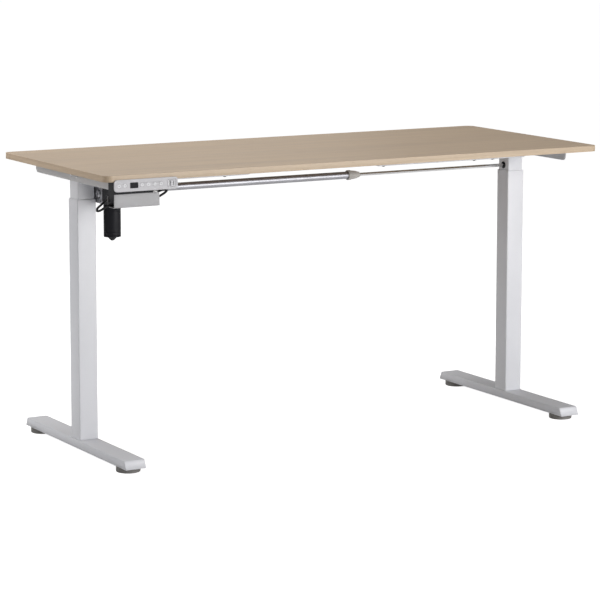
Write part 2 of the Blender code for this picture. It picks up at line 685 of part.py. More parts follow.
def make_lift_screws(finishes):
    """Bevel gear pair and hanging lift screw in each leg."""
    tip = BEVEL_TOOTH / 2
    big = BEVEL_RADIUS + BEVEL_APEX
    small = BEVEL_SMALL + BEVEL_APEX
    # tip radius, distance from the cones' apex and share of the full tooth depth
    cone = [(BEVEL_SMALL + tip * 0.6, small, 0.75), (BEVEL_RADIUS + tip, big, 1.0),
            (BEVEL_RADIUS - tip, big + BEVEL_BACK, 0.0), (BEVEL_RADIUS - tip, BEVEL_HUB, 0.0)]
    for name, side in SIDES:
        x = column_x(side)
        pinion_levels = [(radius, x - side * distance, share) for radius, distance, share in cone]
        pinion = toothed(pinion_levels, BEVEL_TEETH, BEVEL_TOOTH, hex_bore(HEX_FLATS + 2 * GAP), "X",
                         (0.0, COLUMN_Y, SHAFT_Z))
        add(f"{name}_bevel_pinion", pinion, finishes["nylon"], origin=(x, COLUMN_Y, SHAFT_Z))
        # half a tooth further round, so that its teeth meet the pinion's gaps
        wheel_levels = [(radius, -distance, share) for radius, distance, share in cone]
        wheel = toothed(wheel_levels, BEVEL_TEETH, BEVEL_TOOTH, round_bore(JOURNAL_RADIUS + GAP), "Z",
                        (x, COLUMN_Y, SHAFT_Z), phase=0.5)
        add(f"{name}_bevel_wheel", wheel, finishes["nylon"], origin=(x, COLUMN_Y, SHAFT_Z))
        shoulder = SHAFT_Z - BEVEL_HUB - SEAT_ROOM - BEARING_HEIGHT - 4 * GAP - SHOULDER_ROOM
        top = SHAFT_Z - BEVEL_SMALL - tip
        profile = [(0.0, SCREW_END), (SCREW_RADIUS - tip, SCREW_END), (SCREW_RADIUS, SCREW_END + tip),
                   (SCREW_RADIUS, shoulder), (JOURNAL_RADIUS, shoulder), (JOURNAL_RADIUS, top), (0.0, top)]
        add(f"{name}_lift_screw", lathe(profile, "Z", (x, COLUMN_Y, 0.0), 20), finishes["steel"],
            origin=(x, COLUMN_Y, 0.0))


def make_worm_drive(finishes):
    """Worm, worm wheel, gear housing, mounting plate, motor can and end cap."""
    pitch = 2 * math.pi * WHEEL_RADIUS / WHEEL_TEETH
    lean = 1.0 / (2 * math.pi * WORM_RADIUS)
    half = WHEEL_WIDTH / 2
    tip = TOOTH_DEPTH / 2
    levels = [(WHEEL_RADIUS + tip, MOTOR_X + half * step, 1.0) for step in (-1, 0, 1)]
    # the wheel's teeth lean by the worm's own lead angle
    wheel = toothed(levels, WHEEL_TEETH, TOOTH_DEPTH, hex_bore(HEX_FLATS + 2 * GAP), "X",
                    (0.0, COLUMN_Y, SHAFT_Z), twist=-lean, phase=lean * MOTOR_X - WORM_STARTS_LOW,
                    per_tooth=6)
    add("worm_wheel", wheel, finishes["nylon"], origin=(MOTOR_X, COLUMN_Y, SHAFT_Z))

    count = 20
    rows = 30
    shaft_low = SHAFT_Z - HOUSING_BOTTOM - SHAFT_IN_CAN
    bm = bmesh.new()
    rings = []
    for row in range(rows + 1):
        rise = WORM_LENGTH * (row / rows - 0.5)
        ring = []
        for i in range(count):
            share = i / count
            fade = min(1.0, (0.5 - abs(row / rows - 0.5)) * 12)
            ridge = tooth(rise / pitch - share) * fade
            reach = WORM_RADIUS - tip + TOOTH_DEPTH * ridge
            angle = 2 * math.pi * share
            ring.append(bm.verts.new((reach * math.cos(angle), reach * math.sin(angle), SHAFT_Z + rise)))
        rings.append(ring)
    shaft = [bm.verts.new((u, v, rings[0][0].co.z)) for u, v in circle(MOTOR_SHAFT, count)]
    foot = [bm.verts.new((u, v, shaft_low)) for u, v in circle(MOTOR_SHAFT, count)]
    chain = [foot, shaft] + rings
    for here, there in zip(chain, chain[1:]):
        for i in range(count):
            j = (i + 1) % count
            bm.faces.new((here[i], here[j], there[j], there[i]))
    bm.faces.new(list(reversed(foot)))
    bm.faces.new(chain[-1])
    bmesh.ops.recalc_face_normals(bm, faces=bm.faces)
    bmesh.ops.translate(bm, verts=bm.verts, vec=(MOTOR_X, MOTOR_Y, 0.0))
    add("worm", bm, finishes["steel"], origin=(MOTOR_X, MOTOR_Y, SHAFT_Z))

    left = PLATE_LEFT + PLATE_THICK + GAP
    right = MOTOR_X + MOTOR_RADIUS + HOUSING_MARGIN
    back = COLUMN_Y + WHEEL_SPACE + HOUSING_WALL
    top = SHAFT_Z + WHEEL_SPACE + HOUSING_ROOF
    bottom = SHAFT_Z - HOUSING_BOTTOM
    outline = shifted(rounded_rect(back - HOUSING_FRONT, top - bottom, HOUSING_CORNER),
                      (back + HOUSING_FRONT) / 2, (top + bottom) / 2)
    housing = add("gear_housing", prism(outline, "X", left, right), finishes["black"])
    cut(housing, prism(shifted(circle(WHEEL_SPACE, 32), COLUMN_Y, SHAFT_Z), "X", left - PASS,
                       MOTOR_X + half + WHEEL_ROOM))
    cut(housing, prism(shifted(circle(WORM_RADIUS + tip + WHEEL_ROOM, 24), MOTOR_X, MOTOR_Y), "Z",
                       bottom - PASS, SHAFT_Z + WORM_LENGTH / 2 + 2 * WHEEL_ROOM))
    cut(housing, prism(shifted(circle(HEX_CORNER + RUN), COLUMN_Y, SHAFT_Z), "X", MOTOR_X, right + PASS))

    plate_front = HOUSING_FRONT - PLATE_FRONT
    plate_back = COLUMN_Y + INNER_Y / 2 + PLATE_BACK
    plate_bottom = SHAFT_Z - PLATE_DROP
    outline = shifted(rounded_rect(plate_back - plate_front, top - plate_bottom, PLATE_CORNER),
                      (plate_back + plate_front) / 2, (top + plate_bottom) / 2)
    plate = add("motor_plate", prism(outline, "X", PLATE_LEFT, PLATE_LEFT + PLATE_THICK),
                finishes["plate"])
    for y, radius in ((MOTOR_Y + HUB_OFFSET, HUB_RADIUS), (COLUMN_Y, SHAFT_HOLE)):
        cut(plate, prism(shifted(circle(radius, 32), y, SHAFT_Z), "X", PLATE_LEFT - PASS,
                         PLATE_LEFT + PASS))
    for y in (COLUMN_Y + BOSS_SPACING / 2, COLUMN_Y - BOSS_SPACING / 2):
        boss = shifted(circle(BOSS_RADIUS, 16), y, top - BOSS_DROP)
        join(plate, prism(boss, "X", PLATE_LEFT - PLATE_STANDOFF, PLATE_LEFT + PLATE_THICK / 2))

    can_low = CAN_TOP - MOTOR_LENGTH
    can = add("motor_can", prism(shifted(circle(MOTOR_RADIUS, 24), MOTOR_X, MOTOR_Y), "Z", can_low, CAN_TOP),
              finishes["black"])
    cut(can, prism(shifted(circle(MOTOR_SHAFT + RUN, 20), MOTOR_X, MOTOR_Y), "Z",
                   CAN_TOP - SHAFT_POCKET, CAN_TOP + PASS))
    cap_top = can_low - GAP
    # a flat rim round a dome with a blunt point
    profile = [(0.0, cap_top - CAP_HEIGHT), (CAP_POINT, cap_top - CAP_HEIGHT),
               (CAP_NECK, cap_top - CAP_DISH), (CAP_DOME, cap_top - CAP_RIM - CAP_STEP),
               (MOTOR_RADIUS - CAP_STEP, cap_top - CAP_RIM), (MOTOR_RADIUS, cap_top - CAP_RIM + CAP_STEP),
               (MOTOR_RADIUS, cap_top), (0.0, cap_top)]
    add("motor_end_cap", lathe(profile, "Z", (MOTOR_X, MOTOR_Y, 0.0), 24), finishes["black"])


# ================================================================ controls
def panel_outline(length, height, radius, arc=2):
    """A rounded rectangle, long along X, as the (z, x) outline that a prism along Y takes."""
    return [(v, u) for u, v in rounded_rect(length, height, radius, arc)]


def make_panel(finishes):
    """Control panel at the front edge: body, display, six buttons and the charging ports."""
    face = -TOP_DEPTH / 2 - GAP - PANEL_FACE
    back = -TOP_DEPTH / 2 - GAP
    middle = UNDERSIDE + PANEL_LIFT - PANEL_HEIGHT / 2
    z = UNDERSIDE - USB_ROOM - USB_HEIGHT / 2
    outline = panel_outline(PANEL_LENGTH, PANEL_HEIGHT, PANEL_CORNER, 6)
    body = add("panel_body", prism(shifted(outline, middle, PANEL_CENTRE_X), "Y", face, back),
               finishes["panel"])
    body_top = UNDERSIDE - GAP
    body_low = middle - PANEL_HEIGHT / 2 + PANEL_MARGIN / 4
    body_left = PANEL_CENTRE_X - PANEL_LENGTH / 2 + PANEL_MARGIN
    body_right = PANEL_CENTRE_X + PANEL_LENGTH / 2 - PANEL_MARGIN
    depth_outline = [(body_low, body_left), (body_top, body_left), (body_top, body_right),
                     (body_low, body_right)]
    join(body, prism(depth_outline, "Y", back - PANEL_FACE / 3, PANEL_BACK))

    end = PANEL_CENTRE_X - PANEL_LENGTH / 2
    buttons = [("up", end + ARROW_INSET), ("down", end + ARROW_INSET + ARROW_PITCH)]
    buttons += [(f"memory_{i + 1}", end + MEMORY_START + BUTTON_PITCH * i) for i in range(4)]
    outer_face = face - BUTTON_PROUD
    for name, x in buttons:
        cut(body, prism(shifted(circle(BUTTON_RADIUS + GAP, 16), z, x), "Y", face - PASS,
                        face + BUTTON_DEPTH + BUTTON_TRAVEL))
        cap = add(f"{name}_button", prism(shifted(circle(BUTTON_RADIUS, 16), z, x), "Y", outer_face,
                                          outer_face + BUTTON_DEPTH),
                  finishes["button"], origin=(x, face, z))
        soften(cap, GAP, 1)
    display_x = end + DISPLAY_START + DISPLAY_LENGTH / 2
    window = panel_outline(DISPLAY_LENGTH, DISPLAY_HEIGHT, DISPLAY_CORNER)
    hole = panel_outline(DISPLAY_LENGTH + 2 * GAP, DISPLAY_HEIGHT + 2 * GAP, DISPLAY_CORNER + GAP)
    glass_front = face + DISPLAY_SINK
    glass_back = glass_front + DISPLAY_THICK
    cut(body, prism(shifted(hole, z, display_x), "Y", face - PASS, glass_back + GAP))
    add("display_window", prism(shifted(window, z, display_x), "Y", glass_front, glass_back),
        finishes["glass"])
    usb_x = PANEL_CENTRE_X + PANEL_LENGTH / 2 - USB_INSET - USB_LENGTH / 2
    ports = panel_outline(USB_LENGTH, USB_HEIGHT, USB_CORNER)
    hole = panel_outline(USB_LENGTH + 2 * GAP, USB_HEIGHT + 2 * GAP, USB_CORNER + GAP)
    cut(body, prism(shifted(hole, z, usb_x), "Y", face - PASS, face + USB_DEPTH + GAP))
    module = add("usb_module", prism(shifted(ports, z, usb_x), "Y", face + USB_SINK, face + USB_DEPTH),
                 finishes["panel"])
    for dx, size in ((WIDE_SOCKET_X, WIDE_SOCKET), (NARROW_SOCKET_X, NARROW_SOCKET)):
        socket = panel_outline(*size, arc=3)
        cut(module, prism(shifted(socket, z, usb_x + dx), "Y", face - PASS, face + SOCKET_DEPTH))


def make_control_box(finishes):
    """Control box under the tabletop, its cover tray and its power inlet."""
    top = UNDERSIDE - GAP
    right = BOX_LEFT + BOX_LENGTH
    back = BOX_BACK
    outline = shifted(rounded_rect(BOX_DEPTH, BOX_HEIGHT, BOX_CORNER, 2),
                      (BOX_FRONT + back) / 2, top - BOX_HEIGHT / 2)
    box = add("control_box", prism(outline, "X", BOX_LEFT, right), finishes["black"])
    inlet_x = right - INLET_INSET
    inlet_z = top - INLET_DROP
    inlet_end = back - INLET_DEPTH
    hole = panel_outline(INLET_WIDTH + 2 * GAP, INLET_HEIGHT + 2 * GAP, INLET_CORNER, 3)
    cut(box, prism(shifted(hole, inlet_z, inlet_x), "Y", inlet_end - GAP, back + PASS))
    shell = panel_outline(INLET_WIDTH, INLET_HEIGHT, INLET_CORNER, 3)
    inlet = add("power_inlet", prism(shifted(shell, inlet_z, inlet_x), "Y", inlet_end,
                                     back + INLET_PROUD), finishes["black"])
    socket = panel_outline(INLET_WIDTH - 2 * INLET_RIM, INLET_HEIGHT - 2 * INLET_RIM,
                           INLET_SOCKET_CORNER, 4)
    cut(inlet, prism(shifted(socket, inlet_z, inlet_x), "Y", inlet_end + INLET_FLOOR, back + PASS))

    low = UNDERSIDE - TRAY_DROP
    front_out = BOX_FRONT - GAP - TRAY_SHEET
    back_out = back + GAP + TRAY_SHEET
    front_top = low + TRAY_FRONT_HEIGHT
    back_top = low + TRAY_BACK_HEIGHT
    inner_front = front_out + TRAY_SHEET
    inner_back = back_out - TRAY_SHEET
    inner_low = low + TRAY_SHEET
    channel = [(front_out, low), (back_out, low), (back_out, back_top), (inner_back, back_top),
               (inner_back, inner_low), (inner_front, inner_low), (inner_front, front_top),
               (front_out, front_top)]
    add("cable_tray", prism(channel, "X", TRAY_LEFT, TRAY_LEFT + TRAY_LENGTH), finishes["grey"])


def make_lead(name, points, finish):
    """A lead: a round tube along a smooth curve through hand-chosen points."""
    route = smooth_route(points, LEAD_RADIUS * 4)
    data = bpy.data.curves.new(name, "CURVE")
    data.dimensions = "3D"
    data.bevel_depth = LEAD_RADIUS
    data.bevel_resolution = 2
    data.use_fill_caps = True
    spline = data.splines.new("POLY")
    spline.points.add(len(route) - 1)
    for point, spot in zip(spline.points, route):
        point.co = (*spot, 1.0)
    data.materials.append(finish)
    made = bpy.data.objects.new(name, data)
    bpy.context.scene.collection.objects.link(made)


def smooth_route(points, spacing):
    """Points at about the given spacing on the Catmull-Rom curve through a list."""
    knots = [Vector(p) for p in points]
    knots = [2 * knots[0] - knots[1]] + knots + [2 * knots[-1] - knots[-2]]
    route = []
    for a, b, c, d in zip(knots, knots[1:], knots[2:], knots[3:]):
        steps = max(1, round((c - b).length / spacing))
        for i in range(steps):
            t = i / steps
            route.append(0.5 * (2 * b + (c - a) * t + (2 * a - 5 * b + 4 * c - d) * t * t
                                + (3 * b - a - 3 * c + d) * t ** 3))
    route.append(knots[-2])
    return route


def make_leads(finishes):
    """Motor lead, laid through the cable tray, and the short panel lead."""
    box_right = BOX_LEFT + BOX_LENGTH
    run_y = BOX_FRONT + BOX_DEPTH / 2
    run_z = UNDERSIDE - TRAY_DROP + TRAY_SHEET + LEAD_RADIUS + LEAD_REST
    tray_right = TRAY_LEFT + TRAY_LENGTH
    front = MOTOR_Y - MOTOR_RADIUS - 0.0008
    exit_z = CAN_TOP - LEAD_EXIT
    plug_z = UNDERSIDE - PLUG_DROP
    motor_route = [(MOTOR_X, front, exit_z), (MOTOR_X, front - 0.006, exit_z),
                   (MOTOR_X - 0.006, front - 0.022, exit_z + 0.006),
                   (MOTOR_X - 0.024, front - 0.052, exit_z + 0.022),
                   (MOTOR_X - 0.050, front - 0.092, exit_z + 0.036),
                   (TRAY_LEFT + 0.022, run_y + 0.056, run_z + 0.008),
                   (TRAY_LEFT - 0.004, run_y + 0.022, run_z + 0.007),
                   (TRAY_LEFT - 0.022, run_y + 0.008, run_z + 0.001),
                   (TRAY_LEFT - 0.033, run_y + 0.003, run_z - 0.0055),
                   (TRAY_LEFT - 0.034, run_y, run_z - 0.0110),
                   (TRAY_LEFT - 0.025, run_y - 0.001, run_z - 0.0090),
                   (TRAY_LEFT - 0.010, run_y, run_z - 0.0015), (TRAY_LEFT + 0.007, run_y, run_z),
                   (TRAY_LEFT + TRAY_LENGTH / 2, run_y, run_z), (box_right - 0.012, run_y, run_z),
                   (box_right + 0.004, run_y, run_z + 0.0035), (tray_right - 0.002, run_y, run_z + 0.0095),
                   (tray_right + 0.012, run_y, run_z + 0.0160), (tray_right + 0.024, run_y, run_z + 0.0225),
                   (tray_right + 0.028, run_y, run_z + 0.0275),
                   (tray_right + 0.020, run_y, plug_z + 0.0045),
                   (tray_right + 0.006, run_y, plug_z + 0.0010), (tray_right - 0.006, run_y, plug_z),
                   (box_right + GAP, run_y, plug_z)]
    make_lead("motor_lead", motor_route, finishes["lead"])
    z = UNDERSIDE - PANEL_LEAD_DROP
    start_y = BOX_FRONT + 0.013
    panel_route = [(box_right + GAP, start_y, z), (box_right + 0.006, start_y, z),
                   (box_right + 0.016, start_y - 0.004, z), (box_right + 0.020, PANEL_BACK + 0.006, z),
                   (box_right + 0.020, PANEL_BACK + GAP, z)]
    make_lead("panel_lead", panel_route, finishes["lead"])


def main():
    """Builds the whole desk."""
    for old in list(bpy.data.objects):
        bpy.data.objects.remove(old)
    finishes = {
        "oak": material("oak_laminate", (0.56, 0.44, 0.31), 0.45),
        "white": material("white_paint", (0.80, 0.80, 0.84), 0.40),
        "grey": material("grey_paint", (0.52, 0.52, 0.54), 0.45),
        "plate": material("plated_steel", (0.45, 0.45, 0.46), 0.35, 1.0),
        "steel": material("bright_steel", (0.60, 0.60, 0.60), 0.30, 1.0),
        "chrome": material("chrome_tube", (0.75, 0.75, 0.76), 0.15, 1.0),
        "collar": material("collar_plastic", (0.45, 0.43, 0.40), 0.50),
        "black": material("black_plastic", (0.02, 0.02, 0.022), 0.45),
        "rubber": material("glide_plastic", (0.10, 0.09, 0.08), 0.60),
        "liner": material("liner_plastic", (0.80, 0.80, 0.78), 0.50),
        "nut": material("nut_brass", (0.70, 0.52, 0.22), 0.35, 1.0),
        "nylon": material("gear_nylon", (0.75, 0.72, 0.62), 0.45),
        "panel": material("panel_plastic", (0.62, 0.60, 0.66), 0.35),
        "button": material("button_plastic", (0.74, 0.72, 0.76), 0.40),
        "glass": material("display_glass", (0.01, 0.01, 0.012), 0.08),
        "lead": material("lead_rubber", (0.02, 0.02, 0.02), 0.55),
    }
    make_tabletop(finishes)
    for name, side in SIDES:
        make_leg_base(name, side, finishes)
        make_glides(name, side, finishes)
        make_bracket(name, side, finishes)
        make_inner_column(name, side, finishes)
    make_rails(finishes)
    make_cross_shaft(finishes)
    make_lift_screws(finishes)
    make_worm_drive(finishes)
    make_panel(finishes)
    make_control_box(finishes)
    make_leads(finishes)


main()
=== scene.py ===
# %% [markdown]
# # A height adjustable desk
#
# The engineering model of the desk is already there: sixty solids that fit and move. This
# lesson gives them their finished surfaces. Each surface is a formula of two numbers, worked
# out for a whole grid of points at once with numpy, and each finish is a small tree of shader
# nodes. Places and sizes are read from the solids, so nothing is measured twice.

# %% Load the frame
import math

import bmesh
import bpy
import numpy as np
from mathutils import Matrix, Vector


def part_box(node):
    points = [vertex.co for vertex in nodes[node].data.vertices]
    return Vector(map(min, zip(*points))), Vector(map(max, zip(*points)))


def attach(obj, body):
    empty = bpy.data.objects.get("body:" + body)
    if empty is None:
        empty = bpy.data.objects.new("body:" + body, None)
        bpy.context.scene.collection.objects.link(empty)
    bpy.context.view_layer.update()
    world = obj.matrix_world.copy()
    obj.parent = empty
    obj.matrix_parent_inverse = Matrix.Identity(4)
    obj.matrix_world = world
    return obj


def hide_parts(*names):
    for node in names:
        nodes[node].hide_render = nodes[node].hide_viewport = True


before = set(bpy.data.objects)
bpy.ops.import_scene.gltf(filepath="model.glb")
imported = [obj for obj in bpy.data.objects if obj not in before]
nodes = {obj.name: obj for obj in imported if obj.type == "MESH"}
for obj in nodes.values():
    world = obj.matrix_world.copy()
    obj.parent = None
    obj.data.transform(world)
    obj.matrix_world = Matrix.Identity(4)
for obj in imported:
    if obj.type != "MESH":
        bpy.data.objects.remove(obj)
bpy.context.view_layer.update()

MM = 0.001
SMOOTH = 32                             # degrees; sharper edges stay sharp
SIDES = (("left", -1), ("right", 1))    # and where each lies along X

# %% [markdown]
# ## Helpers for surfaces
#
# Almost everything on a desk is either a bar with soft ends, a tube, or something turned on a
# lathe. All of them are a row of closed rings of points: a ring says what the cut across the
# piece looks like, and the row says how that cut travels. One function can therefore skin them
# all. The ends are closed by a fan to the middle, or the last ring meets the first, which is how
# a tube gets a wall with two sides. The signed volume tells whether the faces look outwards.

# %% Rings to skin
def skin(rings, closed=False):
    """Points and faces of a row of rings, an array (rings, points, 3).

    Point (i, j) joins (i + 1, j) and (i, j + 1). The last ring meets the first if closed,
    otherwise a fan to each end ring's mean point closes the ends.
    """
    rings = np.asarray(rings, float)
    rows, count = rings.shape[:2]
    points = rings.reshape(-1, 3)
    i = np.arange(rows if closed else rows - 1)[:, None]
    j = np.arange(count)[None, :]
    here, there = i * count, ((i + 1) % rows) * count
    after = (j + 1) % count
    quads = np.stack([here + j, here + after, there + after, there + j], -1).reshape(-1, 4)
    faces = quads.tolist()
    if not closed:
        points = np.vstack([points, rings[0].mean(0), rings[-1].mean(0)])
        ring, after = j[0], after[0]
        first = np.stack([after, ring, np.full(count, rows * count)], -1)
        last = (rows - 1) * count
        end = np.stack([last + ring, last + after, np.full(count, rows * count + 1)], -1)
        faces += first.tolist() + end.tolist()
    triangles = np.array([[f[0], f[k], f[k + 1]] for f in faces for k in range(1, len(f) - 1)])
    a, b, c = (points[triangles[:, k]] for k in range(3))
    if np.einsum("ij,ij->i", a, np.cross(b, c)).sum() < 0:
        faces = [f[::-1] for f in faces]
    return points, faces


def show(mesh, finish, body, replaced=(), smooth=SMOOTH):
    """One object from a mesh, riding on a body and standing for CAD nodes."""
    mesh.materials.clear()
    mesh.materials.append(finish)
    mesh.shade_smooth()
    mesh.set_sharp_from_angle(angle=math.radians(smooth))
    piece = bpy.data.objects.new(mesh.name, mesh)
    bpy.context.scene.collection.objects.link(piece)
    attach(piece, body)
    if replaced:
        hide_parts(*replaced)
    return piece


def make_piece(name, skins, finish, body, replaced=(), smooth=SMOOTH):
    """One object from one or more skins."""
    points, faces, start = [], [], 0
    for skin_points, skin_faces in skins:
        points.append(skin_points)
        faces += [[corner + start for corner in face] for face in skin_faces]
        start += len(skin_points)
    mesh = bpy.data.meshes.new(name)
    mesh.from_pydata(np.vstack(points).tolist(), [], faces)
    return show(mesh, finish, body, replaced, smooth)


# %% [markdown]
# An outline lives in two numbers, (u, v). `laid` puts it into space across an axis: across X it
# is (y, z), across Y it is (x, z) and across Z it is (x, y). A rounded rectangle is a small circle
# whose centre jumps from corner to corner, and a soft edge is a quarter of a circle.

# %% Outlines
def laid(outline, axis, level, centre=(0.0, 0.0)):
    """An outline (n, 2) at a distance along an axis, as points in space."""
    u, v = outline[:, 0] + centre[0], outline[:, 1] + centre[1]
    w = np.full_like(u, level)
    order = {"X": (w, u, v), "Y": (u, w, v), "Z": (u, v, w)}[axis]
    return np.stack(order, -1)


def rounded(width, height, radius, arc=6):
    """Rounded rectangle: corner centre plus radius times (cos t, sin t), a quarter turn each."""
    radius = max(radius, 0.02 * MM)
    turn = np.arange(4)[:, None] * math.pi / 2
    angle = turn + np.linspace(0, math.pi / 2, arc + 1)[None, :]
    side = np.sign(np.stack([np.cos(turn + math.pi / 4), np.sin(turn + math.pi / 4)], -1))
    centre = side * (np.array([width, height]) / 2 - radius)
    return (centre + radius * np.stack([np.cos(angle), np.sin(angle)], -1)).reshape(-1, 2)


def soft_edge(radius, steps=4):
    """Insets and rises of a quarter circle: r (1 - sin t) inwards and r (1 - cos t) upwards."""
    t = np.linspace(0, math.pi / 2, steps + 1)
    return np.stack([radius * (1 - np.sin(t)), radius * (1 - np.cos(t))], -1)


def centre_of(low, high):
    """The middle of a box: the mean of its lowest and highest corner."""
    return [(a + b) / 2 for a, b in zip(low, high)]


def middle(low, high, axis):
    """Centre of a box across an axis, and its two sizes there."""
    keep = {"X": (1, 2), "Y": (0, 2), "Z": (0, 1)}[axis]
    centre = centre_of(low, high)
    return [centre[k] for k in keep], [high[k] - low[k] for k in keep]


def bar(low, high, axis, corner, edge, arc=6):
    """A solid bar that fills a box, its long edges and its ends rounded.

    One more ring on each end face keeps that face's shading flat inside it.
    """
    centre, (width, height) = middle(low, high, axis)
    k = "XYZ".index(axis)
    flat = edge + min(2.5 * edge, 0.2 * min(width, height))
    rows = [(flat, low[k])] + [(inset, low[k] + rise) for inset, rise in soft_edge(edge)]
    rows += [(inset, high[k] - rise) for inset, rise in soft_edge(edge)[::-1]] + [(flat, high[k])]
    return skin([laid(rounded(width - 2 * i, height - 2 * i, corner - i, arc), axis, w, centre)
                 for i, w in rows])


def tube(low, high, axis, corner, wall, edge=0.3 * MM, arc=6):
    """A square tube that fills a box: out along the outside, back along the bore."""
    centre, (width, height) = middle(low, high, axis)
    k = "XYZ".index(axis)
    rim = soft_edge(edge, 3)
    rows = [(i, low[k] + r) for i, r in rim] + [(i, high[k] - r) for i, r in rim[::-1]]
    rows += [(wall - i, high[k] - r) for i, r in rim] + [(wall - i, low[k] + r) for i, r in rim[::-1]]
    return skin([laid(rounded(width - 2 * i, height - 2 * i, corner - i, arc), axis, w, centre)
                 for i, w in rows], closed=True)


def rows_from(base, *rows):
    """Profile rows (r, w) given in millimetres, w counted from a base."""
    return [(r * MM, base + w * MM) for r, w in rows]


def turned(profile, axis, centre, count=48, shape=None, closed=False):
    """A lathe piece: ring radius r at distance w, for each row (r, w) of the profile.

    shape(angle, row) is added to the radius, which cuts ribs, threads or a hexagonal socket.
    """
    profile = np.asarray(profile, float)
    angle = np.linspace(0, 2 * math.pi, count, endpoint=False)[None, :]
    reach = profile[:, :1] + (shape(angle, profile) if shape else 0 * angle)
    u, v = reach * np.cos(angle), reach * np.sin(angle)
    w = np.broadcast_to(profile[:, 1:], u.shape)
    order = {"X": (w, u, v), "Y": (u, w, v), "Z": (u, v, w)}[axis]
    return skin(np.stack(order, -1) + np.asarray(centre, float), closed)


# %% [markdown]
# ## Helpers for finishes
#
# A finish starts from the Principled shader and bends its colour, its roughness and its surface
# with noise. The noise reads Object coordinates, which are the desk's own metres, so a scale of
# 700 gives grains a little over a millimetre across. Stretching the coordinates along one axis
# turns noise into grain or into the lines that drawing a tube leaves.

# %% Shader helpers
class Finish:
    """A material and the few node moves that every finish here is made of."""

    def __init__(self, name, roughness, metallic=0.0, **fixed):
        self.material = bpy.data.materials.new(name)
        self.material.use_nodes = True
        self.tree = self.material.node_tree
        self.shader = self.tree.nodes["Principled BSDF"]
        self.shader.inputs["Roughness"].default_value = roughness
        self.shader.inputs["Metallic"].default_value = metallic
        for socket, value in fixed.items():
            self.shader.inputs[socket.replace("_", " ")].default_value = value

    def node(self, kind, **inputs):
        """Adds a node and links or sets its inputs; an underscore stands for a space."""
        made = self.tree.nodes.new(kind)
        for key, value in inputs.items():
            socket = made.inputs[key.replace("_", " ")]
            if isinstance(value, bpy.types.NodeSocket):
                self.tree.links.new(value, socket)
            else:
                socket.default_value = value
        return made

    def place(self, stretch=(1.0, 1.0, 1.0)):
        """The point on the desk in metres, each axis stretched."""
        where = self.node("ShaderNodeTexCoord").outputs["Object"]
        return self.node("ShaderNodeMapping", Vector=where, Scale=stretch).outputs["Vector"]

    def noise(self, scale, detail=3.0, stretch=(1.0, 1.0, 1.0), bend=0.0):
        """Noise from 0 to 1 that reads the stretched place."""
        return self.node("ShaderNodeTexNoise", Vector=self.place(stretch), Scale=scale,
                         Detail=detail, Distortion=bend).outputs["Fac"]

    def span(self, value, low, high, start=0.3, end=0.7):
        """A 0 to 1 value spread between two numbers."""
        return self.node("ShaderNodeMapRange", Value=value, From_Min=start, From_Max=end,
                         To_Min=low, To_Max=high).outputs["Result"]

    def ramp(self, value, *stops):
        """Colours at places along a value."""
        made = self.node("ShaderNodeValToRGB", Fac=value)
        while len(made.color_ramp.elements) < len(stops):
            made.color_ramp.elements.new(0.5)
        for element, (place, colour) in zip(made.color_ramp.elements, stops):
            element.position = place
            element.color = (*colour, 1.0)
        return made.outputs["Color"]

    def mixed(self, factor, first, second, blend="MIX"):
        """Two colours mixed by a factor."""
        made = self.tree.nodes.new("ShaderNodeMix")
        made.data_type = "RGBA"
        made.blend_type = blend
        for socket, value in ((made.inputs[0], factor), (made.inputs[6], first),
                              (made.inputs[7], second)):
            if isinstance(value, bpy.types.NodeSocket):
                self.tree.links.new(value, socket)
            else:
                socket.default_value = value
        return made.outputs[2]

    def colour(self, socket):
        self.tree.links.new(socket, self.shader.inputs["Base Color"])

    def rough(self, value, low, high):
        self.tree.links.new(self.span(value, low, high), self.shader.inputs["Roughness"])

    def bump(self, height, depth, strength=1.0):
        """Raises the surface by up to depth metres where the height is 1."""
        made = self.node("ShaderNodeBump", Height=height, Distance=depth, Strength=strength)
        self.tree.links.new(made.outputs["Normal"], self.shader.inputs["Normal"])


def shades(colour, spread):
    """A darker and a lighter neighbour of a colour."""
    return [tuple(min(1.0, c * (1 + side * spread)) for c in colour) for side in (-1, 1)]


# %% [markdown]
# ## The finishes
#
# Powder coat is a plastic dust that melts in an oven. It never flows quite flat, which leaves a
# faint orange peel: bumps about a millimetre wide and a few hundredths high. The colour hardly
# varies, the gloss a little more. White and grey parts differ only in colour.

# %% Powder coat
def powder_coat(name, colour, low, high):
    """Painted steel: orange peel bumps, cloudy gloss, two close shades."""
    made = Finish(name, low)
    peel = made.noise(650, 2.0)
    cloud = made.noise(9, 4.0)
    dark, light = shades(colour, 0.018)
    made.colour(made.ramp(cloud, (0.35, dark), (0.65, light)))
    made.rough(cloud, low, high)
    made.bump(peel, 0.03 * MM, 0.6)
    return made.material


white_coat = powder_coat("white_powder_coat", (0.76, 0.765, 0.80), 0.36, 0.46)
grey_coat = powder_coat("grey_powder_coat", (0.60, 0.60, 0.615), 0.40, 0.50)
tray_coat = powder_coat("tray_powder_coat", (0.42, 0.415, 0.425), 0.42, 0.52)

# %% [markdown]
# The board is chipboard under an oak laminate: printed paper, pressed with a plate that gives it
# pores. Straight-grained oak is a stack of long, thin bands, here noise squeezed across the board
# and drawn out along it. A slow second noise makes some bands warmer, and very thin, short
# streaks are the pores, which are also pressed in.

